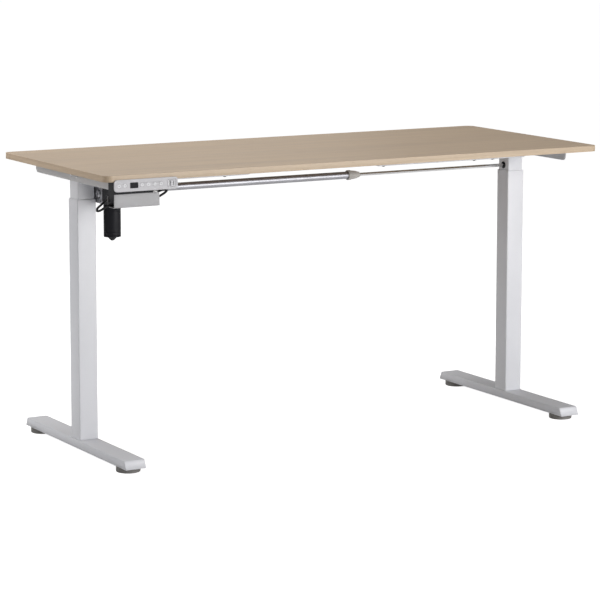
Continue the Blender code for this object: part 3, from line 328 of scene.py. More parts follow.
# %% Oak laminate
def oak(name, light, dark, stretch, pores):
    """Straight oak grain along the axis with the smallest stretch."""
    made = Finish(name, 0.45)
    bands = made.noise(1.0, 6.0, stretch, 0.35)
    slow = made.noise(1.0, 2.0, tuple(s * 0.22 for s in stretch), 0.6)
    pore = made.noise(1.0, 2.0, pores)
    between = tuple((a + b) / 2 for a, b in zip(light, dark))
    grain = made.ramp(bands, (0.28, dark), (0.46, between), (0.60, light), (0.78, between))
    warm = made.ramp(slow, (0.35, (0.95, 0.94, 0.92)), (0.65, (1.04, 1.03, 1.01)))
    streak = made.ramp(pore, (0.30, (0.84, 0.81, 0.77)), (0.42, (1.0, 1.0, 1.0)))
    made.colour(made.mixed(1.0, made.mixed(1.0, grain, warm, "MULTIPLY"), streak, "MULTIPLY"))
    made.rough(bands, 0.40, 0.52)
    made.bump(pore, 0.04 * MM, 0.5)
    return made.material


board_oak = oak("oak_laminate", (0.505, 0.383, 0.262), (0.415, 0.300, 0.192),
                (2.2, 46, 46), (14, 520, 520))
band_x = oak("oak_edge_band_long", (0.60, 0.475, 0.345), (0.52, 0.40, 0.28),
             (4.0, 60, 190), (20, 700, 900))
# The ends' copy is darker than the front's: painted shade on the ends of one and the same strip.
band_y_shaded = oak("oak_edge_band_short_painted_shade", (0.56, 0.43, 0.305), (0.47, 0.35, 0.24),
             (60, 4.0, 190), (700, 20, 900))

# %% [markdown]
# Metal that stays bare keeps the marks of how it was made. Bars and tubes are drawn through a
# die, which leaves lines along them, while a zinc-plated sheet shows small cloudy crystals. The
# lines belong to the roughness and to very shallow bumps, because the metal's colour is the same
# everywhere.

# %% Bare metal
def drawn_metal(name, colour, low, high, along="X"):
    """Bar or tube with fine lines along an axis."""
    made = Finish(name, low, 1.0)
    stretch = tuple(3.0 if axis == along else 900.0 for axis in "XYZ")
    lines = made.noise(1.0, 3.0, stretch)
    dark, light = shades(colour, 0.05)
    made.colour(made.ramp(made.noise(30, 2.0), (0.35, dark), (0.65, light)))
    made.rough(lines, low, high)
    made.bump(lines, 0.004 * MM, 0.4)
    return made.material


def plated_metal(name, colour, low, high):
    """Plated sheet or cast metal: cloudy gloss and tiny crystals."""
    made = Finish(name, low, 1.0)
    crystals = made.node("ShaderNodeTexVoronoi", Vector=made.place(), Scale=420.0).outputs["Distance"]
    dark, light = shades(colour, 0.10)
    made.colour(made.ramp(made.noise(60, 4.0), (0.32, dark), (0.68, light)))
    made.rough(made.noise(140, 3.0), low, high)
    made.bump(crystals, 0.006 * MM, 0.5)
    return made.material


rod_steel = drawn_metal("drawn_steel_rod", (0.74, 0.74, 0.74), 0.18, 0.30)
tube_chrome = drawn_metal("bright_drive_tube", (0.38, 0.38, 0.405), 0.38, 0.46)
screw_steel = drawn_metal("ground_steel_screw", (0.56, 0.56, 0.57), 0.20, 0.34, "Z")
plate_zinc = plated_metal("zinc_plated_plate", (0.56, 0.56, 0.58), 0.32, 0.46)
nut_brass = plated_metal("turned_brass", (0.72, 0.52, 0.24), 0.25, 0.38)
bolt_black = plated_metal("blackened_bolt", (0.10, 0.10, 0.105), 0.38, 0.52)

# %% [markdown]
# Moulded plastic copies its mould. Most of these parts come from a spark-eroded mould, which has
# a fine even roughness, and the gloss drifts a little where the plastic cooled unevenly. Rubber
# and soft leads are duller. One recipe with different grain sizes makes them all.

# %% Plastics and rubber
def moulded(name, colour, low, high, grain, depth, **fixed):
    """Plastic or rubber with a mould texture of the given grain."""
    made = Finish(name, low, **fixed)
    texture = made.noise(grain, 2.0)
    drift = made.noise(25, 3.0)
    dark, light = shades(colour, 0.06)
    made.colour(made.ramp(drift, (0.35, dark), (0.65, light)))
    made.rough(drift, low, high)
    made.bump(texture, depth, 0.6)
    return made.material


black_plastic = moulded("black_moulding", (0.008, 0.008, 0.011), 0.42, 0.54, 1400, 0.02 * MM,
                        Specular_IOR_Level=0.18)
collar_grey = moulded("collar_moulding", (0.48, 0.46, 0.435), 0.50, 0.62, 900, 0.02 * MM)
glide_grey = moulded("glide_moulding", (0.195, 0.187, 0.177), 0.50, 0.65, 700, 0.03 * MM)
liner_white = moulded("liner_moulding", (0.70, 0.70, 0.68), 0.40, 0.55, 900, 0.01 * MM)
gear_nylon = moulded("gear_nylon", (0.74, 0.70, 0.60), 0.38, 0.50, 800, 0.01 * MM)
panel_grey = moulded("panel_moulding", (0.52, 0.51, 0.53), 0.34, 0.44, 1700, 0.012 * MM)
button_grey = moulded("button_moulding", (0.74, 0.735, 0.755), 0.36, 0.46, 1700, 0.010 * MM)
mark_grey = moulded("printed_mark", (0.21, 0.21, 0.24), 0.45, 0.55, 1700, 0.004 * MM)
lead_black = moulded("lead_sheath", (0.008, 0.008, 0.009), 0.46, 0.58, 900, 0.02 * MM,
                     Specular_IOR_Level=0.2)
plug_white = moulded("connector_moulding", (0.74, 0.74, 0.73), 0.35, 0.48, 1200, 0.01 * MM)
display_black = moulded("display_window", (0.004, 0.004, 0.006), 0.12, 0.18, 300, 0.002 * MM,
                        Specular_IOR_Level=0.06)
print("finishes:", len(bpy.data.materials))

# %% [markdown]
# ## The tabletop
#
# The board is sawn, then a plastic strip is glued round its edge and trimmed flush. The strip is
# what the eye meets first from the front, so it is a piece of its own: a flat ring with a small
# round on both rims. It follows the length of the edge, so its grain runs along X at the front
# and back and along Y at the ends, in two finishes. The finish at the ends is also darker, which is
# painted shade: the ends face away from the front light.

# %% Board and edge strip
low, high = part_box("tabletop")
BAND = 0.8 * MM
TOP_CORNER = 20 * MM
strip = Vector((BAND, BAND, 0))
make_piece("tabletop_board",
           [bar(low + strip, high - strip, "Z", TOP_CORNER - BAND, 0.15 * MM, 10)],
           board_oak, "upper_frame", ["tabletop"])
band = make_piece("tabletop_edge_strip",
                  [tube(low, high, "Z", TOP_CORNER, BAND - 0.02 * MM, 0.35 * MM, 10)],
                  band_x, "upper_frame")
band.data.materials.append(band_y_shaded)
# Faces that look along X, the two ends, take the darker copy with its painted shade.
normals = np.array([polygon.normal[:] for polygon in band.data.polygons])
ends_painted_shade = (np.abs(normals[:, 0]) > 0.72).astype(np.int32)
band.data.polygons.foreach_set("material_index", ends_painted_shade)
print("tabletop", [round(v, 4) for v in high - low])

# %% [markdown]
# ## Feet
#
# Each foot is a steel channel, folded and welded shut at its two slanted ends, open below. Its
# skin is a rounded rectangle that gets shorter as it rises, goes round the upper edge and closes
# in the middle; Solidify then folds it inwards to give the sheet its thickness. Turned bosses
# hold the studs of the glides.

# %% Foot channels
FOOT_WALL = 2.2 * MM
FOOT_SLANT = 9 * MM
FOOT_EDGE = 2.4 * MM        # round of the upper edge
FOOT_CORNER = 2.0 * MM      # round of the upright corners
GLIDE_INSET = 44 * MM


def foot_skin(low, high):
    """Rounded rectangle rings: half the length shrinks by the slant as the height grows."""
    centre, (width, length) = middle(low, high, "Z")
    height = high.z - low.z
    rows = [(0.0, 0.0)] + [(i, height - r) for i, r in soft_edge(FOOT_EDGE)[::-1]]
    rows += [(width * share, height) for share in (0.2, 0.42)]
    rings = []
    for inset, rise in rows:
        shorter = length - 2 * FOOT_SLANT * rise / height
        ring = rounded(width - 2 * inset, shorter - 2 * inset, FOOT_CORNER - inset, 4)
        rings.append(laid(ring, "Z", low.z + rise, centre))
    points, faces = skin(rings)
    below = len(points) - 2
    return points, [face for face in faces if below not in face]


def round_edges(piece, width, degrees):
    """Bevels the edges that turn by more than an angle."""
    soft = piece.modifiers.new("edges", "BEVEL")
    soft.width = width
    soft.segments = 2
    soft.limit_method = "ANGLE"
    soft.angle_limit = math.radians(degrees)


def add_sheet_wall(piece, thickness, offset, edge=0.0):
    """Gives a skin the thickness of its sheet and softens its edges."""
    wall = piece.modifiers.new("sheet", "SOLIDIFY")
    wall.thickness = thickness
    wall.offset = offset
    wall.use_even_offset = True
    if edge:
        round_edges(piece, edge, 50)


BOSS = rows_from(0.0, (9.5, 0.2), (9.3, 0), (5.4, 0), (5.4, 17), (5.6, 18), (9.5, 18))
for side, _ in SIDES:
    low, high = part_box(f"{side}_foot")
    foot = make_piece(f"{side}_foot_channel", [foot_skin(low, high)], white_coat,
                      f"{side}_leg", [f"{side}_foot"])
    add_sheet_wall(foot, FOOT_WALL, -1.0)
    x = centre_of(low, high)[0]
    bosses = [turned(BOSS, "Z", (x, y, low.z), 32, closed=True)
              for y in (low.y + GLIDE_INSET, high.y - GLIDE_INSET)]
    make_piece(f"{side}_foot_bosses", bosses, white_coat, f"{side}_leg")

# %% [markdown]
# ## Levelling glides
#
# A glide is a plastic pad with a grip of fine ribs round its rim and a threaded stud. On a lathe
# the ribs are a wave in the radius, and the thread is the same wave wound up: its phase moves on
# by a full turn for each pitch of height.

# %% Glides
RIBS = 72
THREAD_PITCH = 1.5 * MM
PAD = 12.7      # millimetres, the pad's height


def glide_shape(stud_start):
    """Ribs where the radius is the rim's, a helical thread above the pad."""
    def shape(angle, profile):
        radius, height = profile[:, :1], profile[:, 1:]
        rim = ((radius > 28.5 * MM) & (height > 2.5 * MM) & (height < 11.0 * MM)) * 0.45 * MM
        thread = (height > stud_start) * 0.35 * MM
        ribs = rim * (np.abs(np.sin(angle * RIBS / 2)) - 1)
        return ribs + thread * (np.cos(angle - 2 * math.pi * height / THREAD_PITCH) - 1)
    return shape


for side, _ in SIDES:
    for end in ("front", "back"):
        node = f"{side}_{end}_glide"
        low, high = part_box(node)
        profile = rows_from(0.0, (20, 0), (27.8, 0), (28.9, 0.5), (29.5, 2), (29.5, 2.6), (29.5, 10.9),
                            (29.5, 11.4), (28.8, 12.4), (28, PAD), (12, PAD), (11.2, 12.4), (5, 12.4))
        steps = np.arange(PAD * MM + 0.2 * MM, high.z - low.z - 0.8 * MM, THREAD_PITCH / 5)
        profile += [(5 * MM, height) for height in steps]
        profile += rows_from(high.z - low.z, (4.2, -0.1), (3.8, 0))
        centre = (*centre_of(low, high)[:2], low.z)
        make_piece(f"{node}_pad", [turned(profile, "Z", centre, 2 * RIBS, glide_shape(PAD * MM))],
                   glide_grey, node, [node], 50)
print("glide rim", RIBS, "ribs")

# %% [markdown]
# ## Legs
#
# The outer column is a rolled square tube whose corners keep a three millimetre round. The inner
# column has the shaft's hole, so its solid is kept: a copy of it is welded from loose triangles,
# its flat regions become single faces again, and a bevel softens its edges. The same recipe will
# serve for the pieces whose many holes matter more than their outline.

# %% Outer columns
COLUMN_CORNER = 3 * MM
TUBE_WALL = 1.5 * MM        # of the columns, the rails and the drive tube
for side, _ in SIDES:
    low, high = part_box(f"{side}_outer_column")
    make_piece(f"{side}_outer_tube", [tube(low, high, "Z", COLUMN_CORNER, TUBE_WALL, 0.5 * MM, 8)],
               white_coat, f"{side}_leg", [f"{side}_outer_column"])

# %% Welded and softened copies of solids
def softened(node, finish, width):
    """A copy of a solid's mesh: doubles merged, flats rejoined, sharp edges rounded."""
    copy = bmesh.new()
    copy.from_mesh(nodes[node].data)
    bmesh.ops.remove_doubles(copy, verts=copy.verts, dist=0.001 * MM)
    bmesh.ops.dissolve_limit(copy, angle_limit=math.radians(0.5), verts=copy.verts, edges=copy.edges)
    mesh = bpy.data.meshes.new(f"{node}_shell")
    copy.to_mesh(mesh)
    copy.free()
    piece = show(mesh, finish, "upper_frame", [node])
    round_edges(piece, width, 40)
    return piece


for side, _ in SIDES:
    softened(f"{side}_inner_column", white_coat, 0.3 * MM)

# %% [markdown]
# ## Brackets under the board
#
# A bracket is one strip of steel, folded: a plate beside the column and a flange under the board.
# Its surface is a path across the fold, carried along the desk's depth. Where the path is near an
# end, the strip gets shorter by the missing part of a circle, which rounds the corners. Solidify
# gives the sheet its thickness.

# %% Folded brackets
SHEET = 2.5 * MM
FOLD = 2.2 * MM             # round of the fold, in the middle of the sheet
PLATE_ROUND, FLANGE_ROUND = 12 * MM, 6 * MM     # corners at the two ends of the strip


def folded(path, s_low, s_high, axis, round_start, round_end, steps=28):
    """A path (n, 2) across a fold, carried along an axis, with rounded corners at both ends.

    At distance d from the path's start the length loses r - sqrt(r^2 - (r - d)^2) while d < r.
    """
    run = np.concatenate([[0], np.cumsum(np.hypot(*np.diff(path, axis=0).T))])

    def loss(distance, radius):
        inside = np.clip(radius - distance, 0, radius)
        return radius - np.sqrt(radius ** 2 - inside ** 2)

    short = loss(run, round_start) + loss(run[-1] - run, round_end)
    share = np.linspace(-1, 1, steps)[None, :]
    along = (s_low + s_high) / 2 + share * ((s_high - s_low) / 2 - short[:, None])
    u = np.broadcast_to(path[:, :1], along.shape)
    v = np.broadcast_to(path[:, 1:], along.shape)
    points = np.stack((u, along, v) if axis == "Y" else (along, u, v), -1)
    rows, count = along.shape
    i, j = np.meshgrid(np.arange(rows - 1), np.arange(count - 1), indexing="ij")
    start = (i * count + j).ravel()
    faces = np.stack([start, start + 1, start + count + 1, start + count], -1)
    return points.reshape(-1, 3), faces.tolist()


def filleted(corners, radius, steps=5):
    """A path through corner points with each inner corner replaced by an arc of a radius."""
    corners = [np.array(c, float) for c in corners]
    path = [corners[0]]
    for before, here, after in zip(corners, corners[1:], corners[2:]):
        back = (before - here) / np.linalg.norm(before - here)
        on = (after - here) / np.linalg.norm(after - here)
        half = math.acos(np.clip(back @ on, -1, 1)) / 2
        centre = here + (back + on) / np.linalg.norm(back + on) * radius / math.sin(half)
        first, last = here + back * radius / math.tan(half), here + on * radius / math.tan(half)
        for share in np.linspace(0, 1, steps + 1):
            spoke = (first - centre) * (1 - share) + (last - centre) * share
            path.append(centre + spoke / np.linalg.norm(spoke) * radius)
    return np.array(path + [corners[-1]])


def dense(path, first):
    """Adds rows near the start of a path, where a rounded corner needs them."""
    start, rest = path[0], path[1]
    length = np.linalg.norm(rest - start)
    shares = first / length * (1 - np.cos(np.linspace(0, math.pi / 2, 9)))
    return np.vstack([start + (rest - start) * shares[:, None], path[1:]])


for side, sign in SIDES:
    low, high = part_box(f"{side}_bracket")
    plate_x = (low.x if sign < 0 else high.x) - sign * SHEET / 2
    edge_x = high.x if sign < 0 else low.x
    corners = [(plate_x, low.z), (plate_x, high.z - SHEET / 2), (edge_x, high.z - SHEET / 2)]
    path = dense(filleted(corners, FOLD), PLATE_ROUND)
    path = dense(path[::-1], FLANGE_ROUND)[::-1]
    bracket = make_piece(f"{side}_folded_bracket",
                         [folded(path, low.y, high.y, "Y", PLATE_ROUND, FLANGE_ROUND)],
                         grey_coat, "upper_frame", [f"{side}_bracket"], 50)
    add_sheet_wall(bracket, SHEET, 0.0, 0.4 * MM)

# %% [markdown]
# ## Rails
#
# Two rails join the brackets. Each is a pair of square tubes with a narrower tube inside them
# both, so that one frame fits boards of several lengths. All six are the same tube formula.

# %% Telescopic rails
for rail in ("front", "back"):
    for part, corner in (("left", 2 * MM), ("right", 2 * MM), ("bar", 1 * MM)):
        node = f"{rail}_rail_{part}"
        low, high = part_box(node)
        make_piece(f"{node}_tube", [tube(low, high, "X", corner, TUBE_WALL, 0.3 * MM, 5)],
                   white_coat, "upper_frame", [node])

# %% [markdown]
# ## Cross shaft
#
# One motor lifts both legs, so a shaft carries its turning across the desk. Hexagonal rods slide
# in a round tube, and a split collar clamps them. A hexagon with soft corners is a circle whose
# radius is divided by the cosine of the angle from the middle of the flat, kept below the corner
# round. The collar's ring has grip ribs, made the same way as the glides'.

# %% Hexagon rods, tube and collar
def hexagon_reach(angle, flats, corner):
    """Radius of a hexagon towards an angle, its corners cut back to a circle."""
    from_flat = (angle % (math.pi / 3)) - math.pi / 6
    return np.minimum(flats / 2 / np.cos(from_flat), corner)


def hexagon_rod(low, high, flats=8 * MM, corner=4.52 * MM):
    """A rod along X with a small chamfer at both ends."""
    ends = [(0.8, low), (1.0, low + 0.6 * MM), (1.0, high - 0.6 * MM), (0.8, high)]
    inner = np.linspace(low + 20 * MM, high - 20 * MM, 8)
    rows = ends[:2] + [(1.0, w) for w in inner] + ends[2:]
    profile = [(0.0, w) for _, w in rows]
    scale = np.array([s for s, _ in rows])[:, None]
    return turned(profile, "X", shaft_axis, 48, lambda a, p: scale * hexagon_reach(a, flats, corner))


low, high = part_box("drive_tube")
shaft_axis = (0.0, *centre_of(low, high)[1:])
for node in ("left_hex_rod", "right_hex_rod"):
    low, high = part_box(node)
    make_piece(f"{node}_bar", [hexagon_rod(low.x, high.x)], rod_steel, "cross_shaft",
               [node], 20)

low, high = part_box("drive_tube")
radius, rim = (high.z - low.z) / 2, 0.3 * MM
profile = [(radius - rim, low.x), (radius, low.x + rim), (radius, high.x - rim),
           (radius - rim, high.x), (radius - TUBE_WALL, high.x), (radius - TUBE_WALL, low.x)]
make_piece("drive_tube_skin", [turned(profile, "X", shaft_axis, 64, closed=True)], tube_chrome,
           "cross_shaft", ["drive_tube"])

low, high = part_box("tube_collar")
ring_end = low.x + 9 * MM


def grip_ribs(angle, profile):
    """Eighteen shallow ribs round the collar's ring."""
    ring = (profile[:, :1] > 12.6 * MM) & (profile[:, 1:] < ring_end)
    return ring * 0.5 * MM * (np.clip(np.abs(np.sin(angle * 9)) * 2.2, 0, 1) - 1)


profile = rows_from(low.x, (9.85, 0.4), (10.2, 0), (12.4, 0), (12.9, 0.6), (12.9, 1.2))
profile += rows_from(ring_end, (12.9, -1.2), (12.9, -0.5), (12.4, 0), (11.6, 0.1), (11.5, 1),
                     (11.2, 6), (10.6, 12), (9.2, 18))
profile += rows_from(high.x, (7.8, -4), (6.9, -0.8), (6.3, 0), (4.95, 0))
profile += rows_from(ring_end, (4.95, 1.4), (9.85, 1.4))
make_piece("shaft_collar", [turned(profile, "X", shaft_axis, 108, grip_ribs, True)], collar_grey,
           "cross_shaft", ["tube_collar"])

low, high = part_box("right_shaft_bush")
profile = rows_from(high.x, (5.25, 0), (7.1, 0), (7.2, -0.2))
profile += rows_from(low.x, (7.2, 1.7), (9, 1.7), (9.2, 1.4), (9.2, 0.5), (8.7, 0), (6, 0), (5.25, 0.7))
make_piece("shaft_bush", [turned(profile, "X", shaft_axis, 48, closed=True)], black_plastic,
           "upper_frame", ["right_shaft_bush"])
print("shaft axis", [round(v, 4) for v in shaft_axis])

# %% [markdown]
# ## Motor
#
# The motor hangs below a worm gearbox. Its can is drawn steel, painted black, with two rolled
# grooves that hold the magnets; its end cap is pressed to a blunt point over the bearing. The
# gearbox is die-cast, and its solid's holes are kept by the softened copy, whose lower corner a
# plane cuts off. A cover with a lip closes its front, and a hub fills the plate's large hole.

# %% Motor can and cap
low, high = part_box("motor_can")
motor_axis = (*centre_of(low, high)[:2], 0.0)
can = (high.x - low.x) / 2


def groove(height):
    """A rolled groove: four rows that dip by half a millimetre."""
    return [(can, height - 1.2 * MM), (can - 0.5 * MM, height - 0.5 * MM),
            (can - 0.5 * MM, height + 0.5 * MM), (can, height + 1.2 * MM)]


profile = [(can - 6 * MM, low.z), (can - 0.8 * MM, low.z), (can, low.z + 0.8 * MM)]
profile += groove(low.z + 9 * MM) + groove(high.z - 14 * MM)
profile += [(can, high.z - 0.8 * MM), (can - 0.8 * MM, high.z), (can - 6 * MM, high.z)]
make_piece("motor_can_skin", [turned(profile, "Z", motor_axis, 72)], black_plastic,
           "upper_frame", ["motor_can"])

low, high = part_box("motor_end_cap")
profile = rows_from(low.z, (2.6, 0), (3.6, 0.4), (4.6, 1.2), (6.2, 2.7), (7.5, 4), (9.2, 6), (11, 7.8),
                    (12.8, 8.7), (14.4, 9.1), (17, 9.4))
profile += [(can - 0.8 * MM, low.z + 9.7 * MM), (can, low.z + 10.5 * MM),
            (can, high.z - 0.4 * MM), (can - 0.4 * MM, high.z)]
make_piece("motor_cap_skin", [turned(profile, "Z", motor_axis, 72)], black_plastic,
           "upper_frame", ["motor_end_cap"])


# %% Gearbox and motor plate
def cut_off(piece, spot, direction):
    """Planes off what lies on one side of a plane and closes the cut."""
    mesh = bmesh.new()
    mesh.from_mesh(piece.data)
    cut = bmesh.ops.bisect_plane(mesh, geom=mesh.verts[:] + mesh.edges[:] + mesh.faces[:],
                                 plane_co=spot, plane_no=direction, clear_outer=True)
    edges = [part for part in cut["geom_cut"] if isinstance(part, bmesh.types.BMEdge)]
    bmesh.ops.contextual_create(mesh, geom=edges)
    bmesh.ops.recalc_face_normals(mesh, faces=mesh.faces)
    mesh.to_mesh(piece.data)
    mesh.free()
    piece.data.set_sharp_from_angle(angle=math.radians(SMOOTH))


gearbox = softened("gear_housing", black_plastic, 0.8 * MM)
plate_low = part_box("motor_plate")[0]
low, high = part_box("gear_housing")
cut_off(gearbox, (low.x, 0.0, plate_low.z + 1 * MM), (-0.45, 0.0, -1.0))
cover = bar(Vector((low.x + 0.3 * MM, plate_low.y - 1.5 * MM, plate_low.z + 0.6 * MM)),
            Vector((high.x - 0.3 * MM, low.y - 0.1 * MM, high.z - 0.4 * MM)), "Y", 3 * MM, 0.8 * MM)
lip = bar(Vector((plate_low.x - 0.8 * MM, plate_low.y - 3.2 * MM, plate_low.z + 0.2 * MM)),
          Vector((high.x - 0.1 * MM, plate_low.y - 0.2 * MM, high.z)), "Y", 3 * MM, 0.6 * MM)
make_piece("gearbox_front_cover", [cover, lip], black_plastic, "upper_frame")
softened("motor_plate", plate_zinc, 0.25 * MM)
low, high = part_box("motor_plate")
HUB_AHEAD = 10 * MM         # the hub's middle in front of the motor's axis
hub_spot = (0.0, motor_axis[1] - HUB_AHEAD, shaft_axis[2])
profile = rows_from(low.x, (3, 0.5), (3.4, 0.2), (8.3, 0.2), (8.8, 0.6))
profile += rows_from(high.x, (8.8, 0), (3, 0))
make_piece("motor_plate_hub", [turned(profile, "X", hub_spot, 48, closed=True)], plate_zinc,
           "upper_frame")

# %% [markdown]
# ## Control panel
#
# The panel sits at the front edge, where the fingers find it: two arrows, a display, four memory
# keys and two charging sockets. The key caps are turned with a soft rim and a shallow dish. Their
# marks are printed, here a skin a few hundredths of a millimetre thick: an arrow is a triangle
# and a number is a set of short bars, as on a seven-segment display.

# %% Panel body and sockets
panel = softened("panel_body", panel_grey, 0.7 * MM)
panel.data.materials.append(black_plastic)
FACE_DEPTH = 3.6 * MM     # grey front of the panel; what lies behind it is black
face_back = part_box("panel_body")[0].y + FACE_DEPTH
behind = np.array([polygon.center.y > face_back for polygon in panel.data.polygons])
panel.data.polygons.foreach_set("material_index", behind.astype(np.int32))
softened("usb_module", panel_grey, 0.15 * MM)
low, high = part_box("display_window")
make_piece("display_pane", [bar(low, high, "Y", 0.8 * MM, 0.15 * MM, 5)], display_black,
           "upper_frame", ["display_window"])

low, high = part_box("usb_module")
module_x, _, row = centre_of(low, high)


def box_about(x, y0, y1, z, width, height):
    """Lowest and highest corner of a box centred in X and Z."""
    return (Vector((x - width / 2, y0, z - height / 2)), Vector((x + width / 2, y1, z + height / 2)))


tongue = bar(*box_about(module_x - 5.9 * MM, low.y + 1.2 * MM, low.y + 12.9 * MM, row, 1.9 * MM,
                        10.8 * MM), "Y", 0.2 * MM, 0.15 * MM, 2)
pin = bar(*box_about(module_x + 4.6 * MM, low.y + 1.0 * MM, low.y + 12.9 * MM, row, 0.8 * MM,
                     6.0 * MM), "Y", 0.15 * MM, 0.1 * MM, 2)
make_piece("charging_tongues", [tongue, pin], plug_white, "upper_frame")
sleeve_a = tube(*box_about(module_x - 4.8 * MM, low.y + 0.15 * MM, low.y + 12.8 * MM, row,
                           5.06 * MM, 12.46 * MM), "Y", 0.4 * MM, 0.3 * MM, 0.08 * MM, 3)
sleeve_c = tube(*box_about(module_x + 4.6 * MM, low.y + 0.15 * MM, low.y + 12.8 * MM, row,
                           2.96 * MM, 8.76 * MM), "Y", 1.4 * MM, 0.25 * MM, 0.08 * MM, 5)
make_piece("charging_sleeves", [sleeve_a, sleeve_c], plate_zinc, "upper_frame")

# %% Keys and their marks
SEGMENTS = {"a": (0, 1, 1), "b": (0.5, 0.5, 0), "c": (0.5, -0.5, 0), "d": (0, -1, 1),
            "e": (-0.5, -0.5, 0), "f": (-0.5, 0.5, 0), "g": (0, 0, 1)}
NUMBERS = {1: "bc", 2: "abged", 3: "abgcd", 4: "fgbc"}


def number_mark(number, x, y, z, size=1.3 * MM, line=0.42 * MM):
    """Short bars for the lit segments of a number, size from its middle to its top."""
    bars = []
    for letter in NUMBERS[number]:
        u, v, flat = SEGMENTS[letter]
        u = 0.0 if number == 1 else u
        width = size + line if flat else line
        height = line if flat else size + line
        bars.append(bar(*box_about(x + u * size, y - 0.05 * MM, y + 0.1 * MM, z + v * size,
                                   width, height), "Y", 0.1 * MM, 0.02 * MM, 2))
    return bars


def arrow_mark(up, x, y, z, size=1.7 * MM):
    """A triangle that points up or down, with rounded corners: circle of radius a + b cos 3t."""
    angle = np.linspace(0, 2 * math.pi, 36, endpoint=False)
    reach = size * (0.72 + 0.22 * np.cos(3 * (angle - (1 if up else -1) * math.pi / 2)))
    outline = reach[:, None] * np.stack([np.cos(angle), np.sin(angle)], -1)
    return [skin([laid(outline, "Y", w, (x, z)) for w in (y - 0.05 * MM, y + 0.1 * MM)])]


keys = ["up", "down"] + [f"memory_{k}" for k in (1, 2, 3, 4)]
for key in keys:
    node = f"{key}_button"
    low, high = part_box(node)
    x, _, z = centre_of(low, high)
    profile = rows_from(low.y, (1.5, 0.16), (3, 0.1), (3.8, 0.02), (4.2, 0), (4.48, 0.12), (4.6, 0.4))
    profile += rows_from(high.y, (4.6, -0.2), (4.4, 0))
    make_piece(f"{key}_key_cap", [turned(profile, "Y", (x, 0.0, z), 48)], button_grey, node,
               [node])
    face = low.y + 0.14 * MM
    marks = (number_mark(int(key[-1]), x, face, z) if key[-1].isdigit()
             else arrow_mark(key == "up", x, face, z))
    make_piece(f"{key}_key_mark", marks, mark_grey, node)
print("keys:", len(keys))

# %% [markdown]
# ## Control box and cable tray
#
# The control box is a plain moulded case, and below it hangs a folded tray that hides the leads.
# The tray is the bracket's formula again, along X this time: up the front, along the floor and up
# the back, with a small round in each fold.

# %% Box, inlet and tray
softened("control_box", black_plastic, 0.8 * MM)
softened("power_inlet", black_plastic, 0.25 * MM)
low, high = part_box("power_inlet")
x, _, z = centre_of(low, high)
pins = [bar(*box_about(x + dx, low.y + 2.2 * MM, high.y - 2.5 * MM, z, 2.2 * MM, 2.2 * MM),
            "Y", 1.0 * MM, 0.5 * MM, 4) for dx in (-3.2 * MM, 3.2 * MM)]
make_piece("power_inlet_pins", pins, plate_zinc, "upper_frame")

TRAY_SHEET = 1.2 * MM
low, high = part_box("cable_tray")
left, right, tray_floor = low.x, high.x, low.z
half = TRAY_SHEET / 2
BACK_LIP = 25.6 * MM
corners = [(low.y + half, high.z), (low.y + half, low.z + half), (high.y - half, low.z + half),
           (high.y - half, low.z + BACK_LIP)]
tray = make_piece("cable_tray_sheet",
                  [folded(filleted(corners, 1.6 * MM), low.x, high.x, "X", 0.8 * MM, 0.8 * MM, 12)],
                  tray_coat, "upper_frame", ["cable_tray"], 50)
add_sheet_wall(tray, TRAY_SHEET, 0.0, 0.25 * MM)

# %% [markdown]
# ## Leads
#
# Two leads are held between housings. The long one feeds the motor: it leaves the can, goes
# forward under the rail, hangs in a loop beside the tray, runs through it and comes back up into
# the box. The short one joins the box and the panel. Their points are listed; a
# Catmull-Rom curve through them is soft everywhere, and a circle is carried along it, square to
# the curve's direction.

# %% Leads
LEAD_RADIUS = 2.8 * MM
LEAD_GAP = 0.3 * MM         # between a lead's end and the housing it goes into


def smooth_route(points, steps=10):
    """Catmull-Rom: on each span, a cubic of t with the neighbours' chord as its slope."""
    knots = np.array(points, float)
    knots = np.vstack([2 * knots[0] - knots[1], knots, 2 * knots[-1] - knots[-2]])
    a, b, c, d = knots[:-3, None], knots[1:-2, None], knots[2:-1, None], knots[3:, None]
    t = np.linspace(0, 1, steps, endpoint=False)[None, :, None]
    spans = 0.5 * (2 * b + (c - a) * t + (2 * a - 5 * b + 4 * c - d) * t ** 2
                   + (3 * b - a - 3 * c + d) * t ** 3)
    return np.vstack([spans.reshape(-1, 3), knots[-2]])


def swept(route, radius, count=20):
    """Circles along a route, in the plane of two normals square to its direction."""
    ahead = np.gradient(route, axis=0)
    ahead /= np.linalg.norm(ahead, axis=1, keepdims=True)
    reference = np.array([0.31, 0.52, 0.80])
    across = np.cross(ahead, reference)
    across /= np.linalg.norm(across, axis=1, keepdims=True)
    upward = np.cross(across, ahead)
    angle = np.linspace(0, 2 * math.pi, count, endpoint=False)[None, :, None]
    reach = np.broadcast_to(np.asarray(radius, float), len(route))[:, None, None]
    return skin(route[:, None] + reach * (np.cos(angle) * across[:, None] + np.sin(angle) * upward[:, None]))


def length_of(route):
    """Sum of the distances between neighbouring points."""
    return float(np.linalg.norm(np.diff(route, axis=0), axis=1).sum())


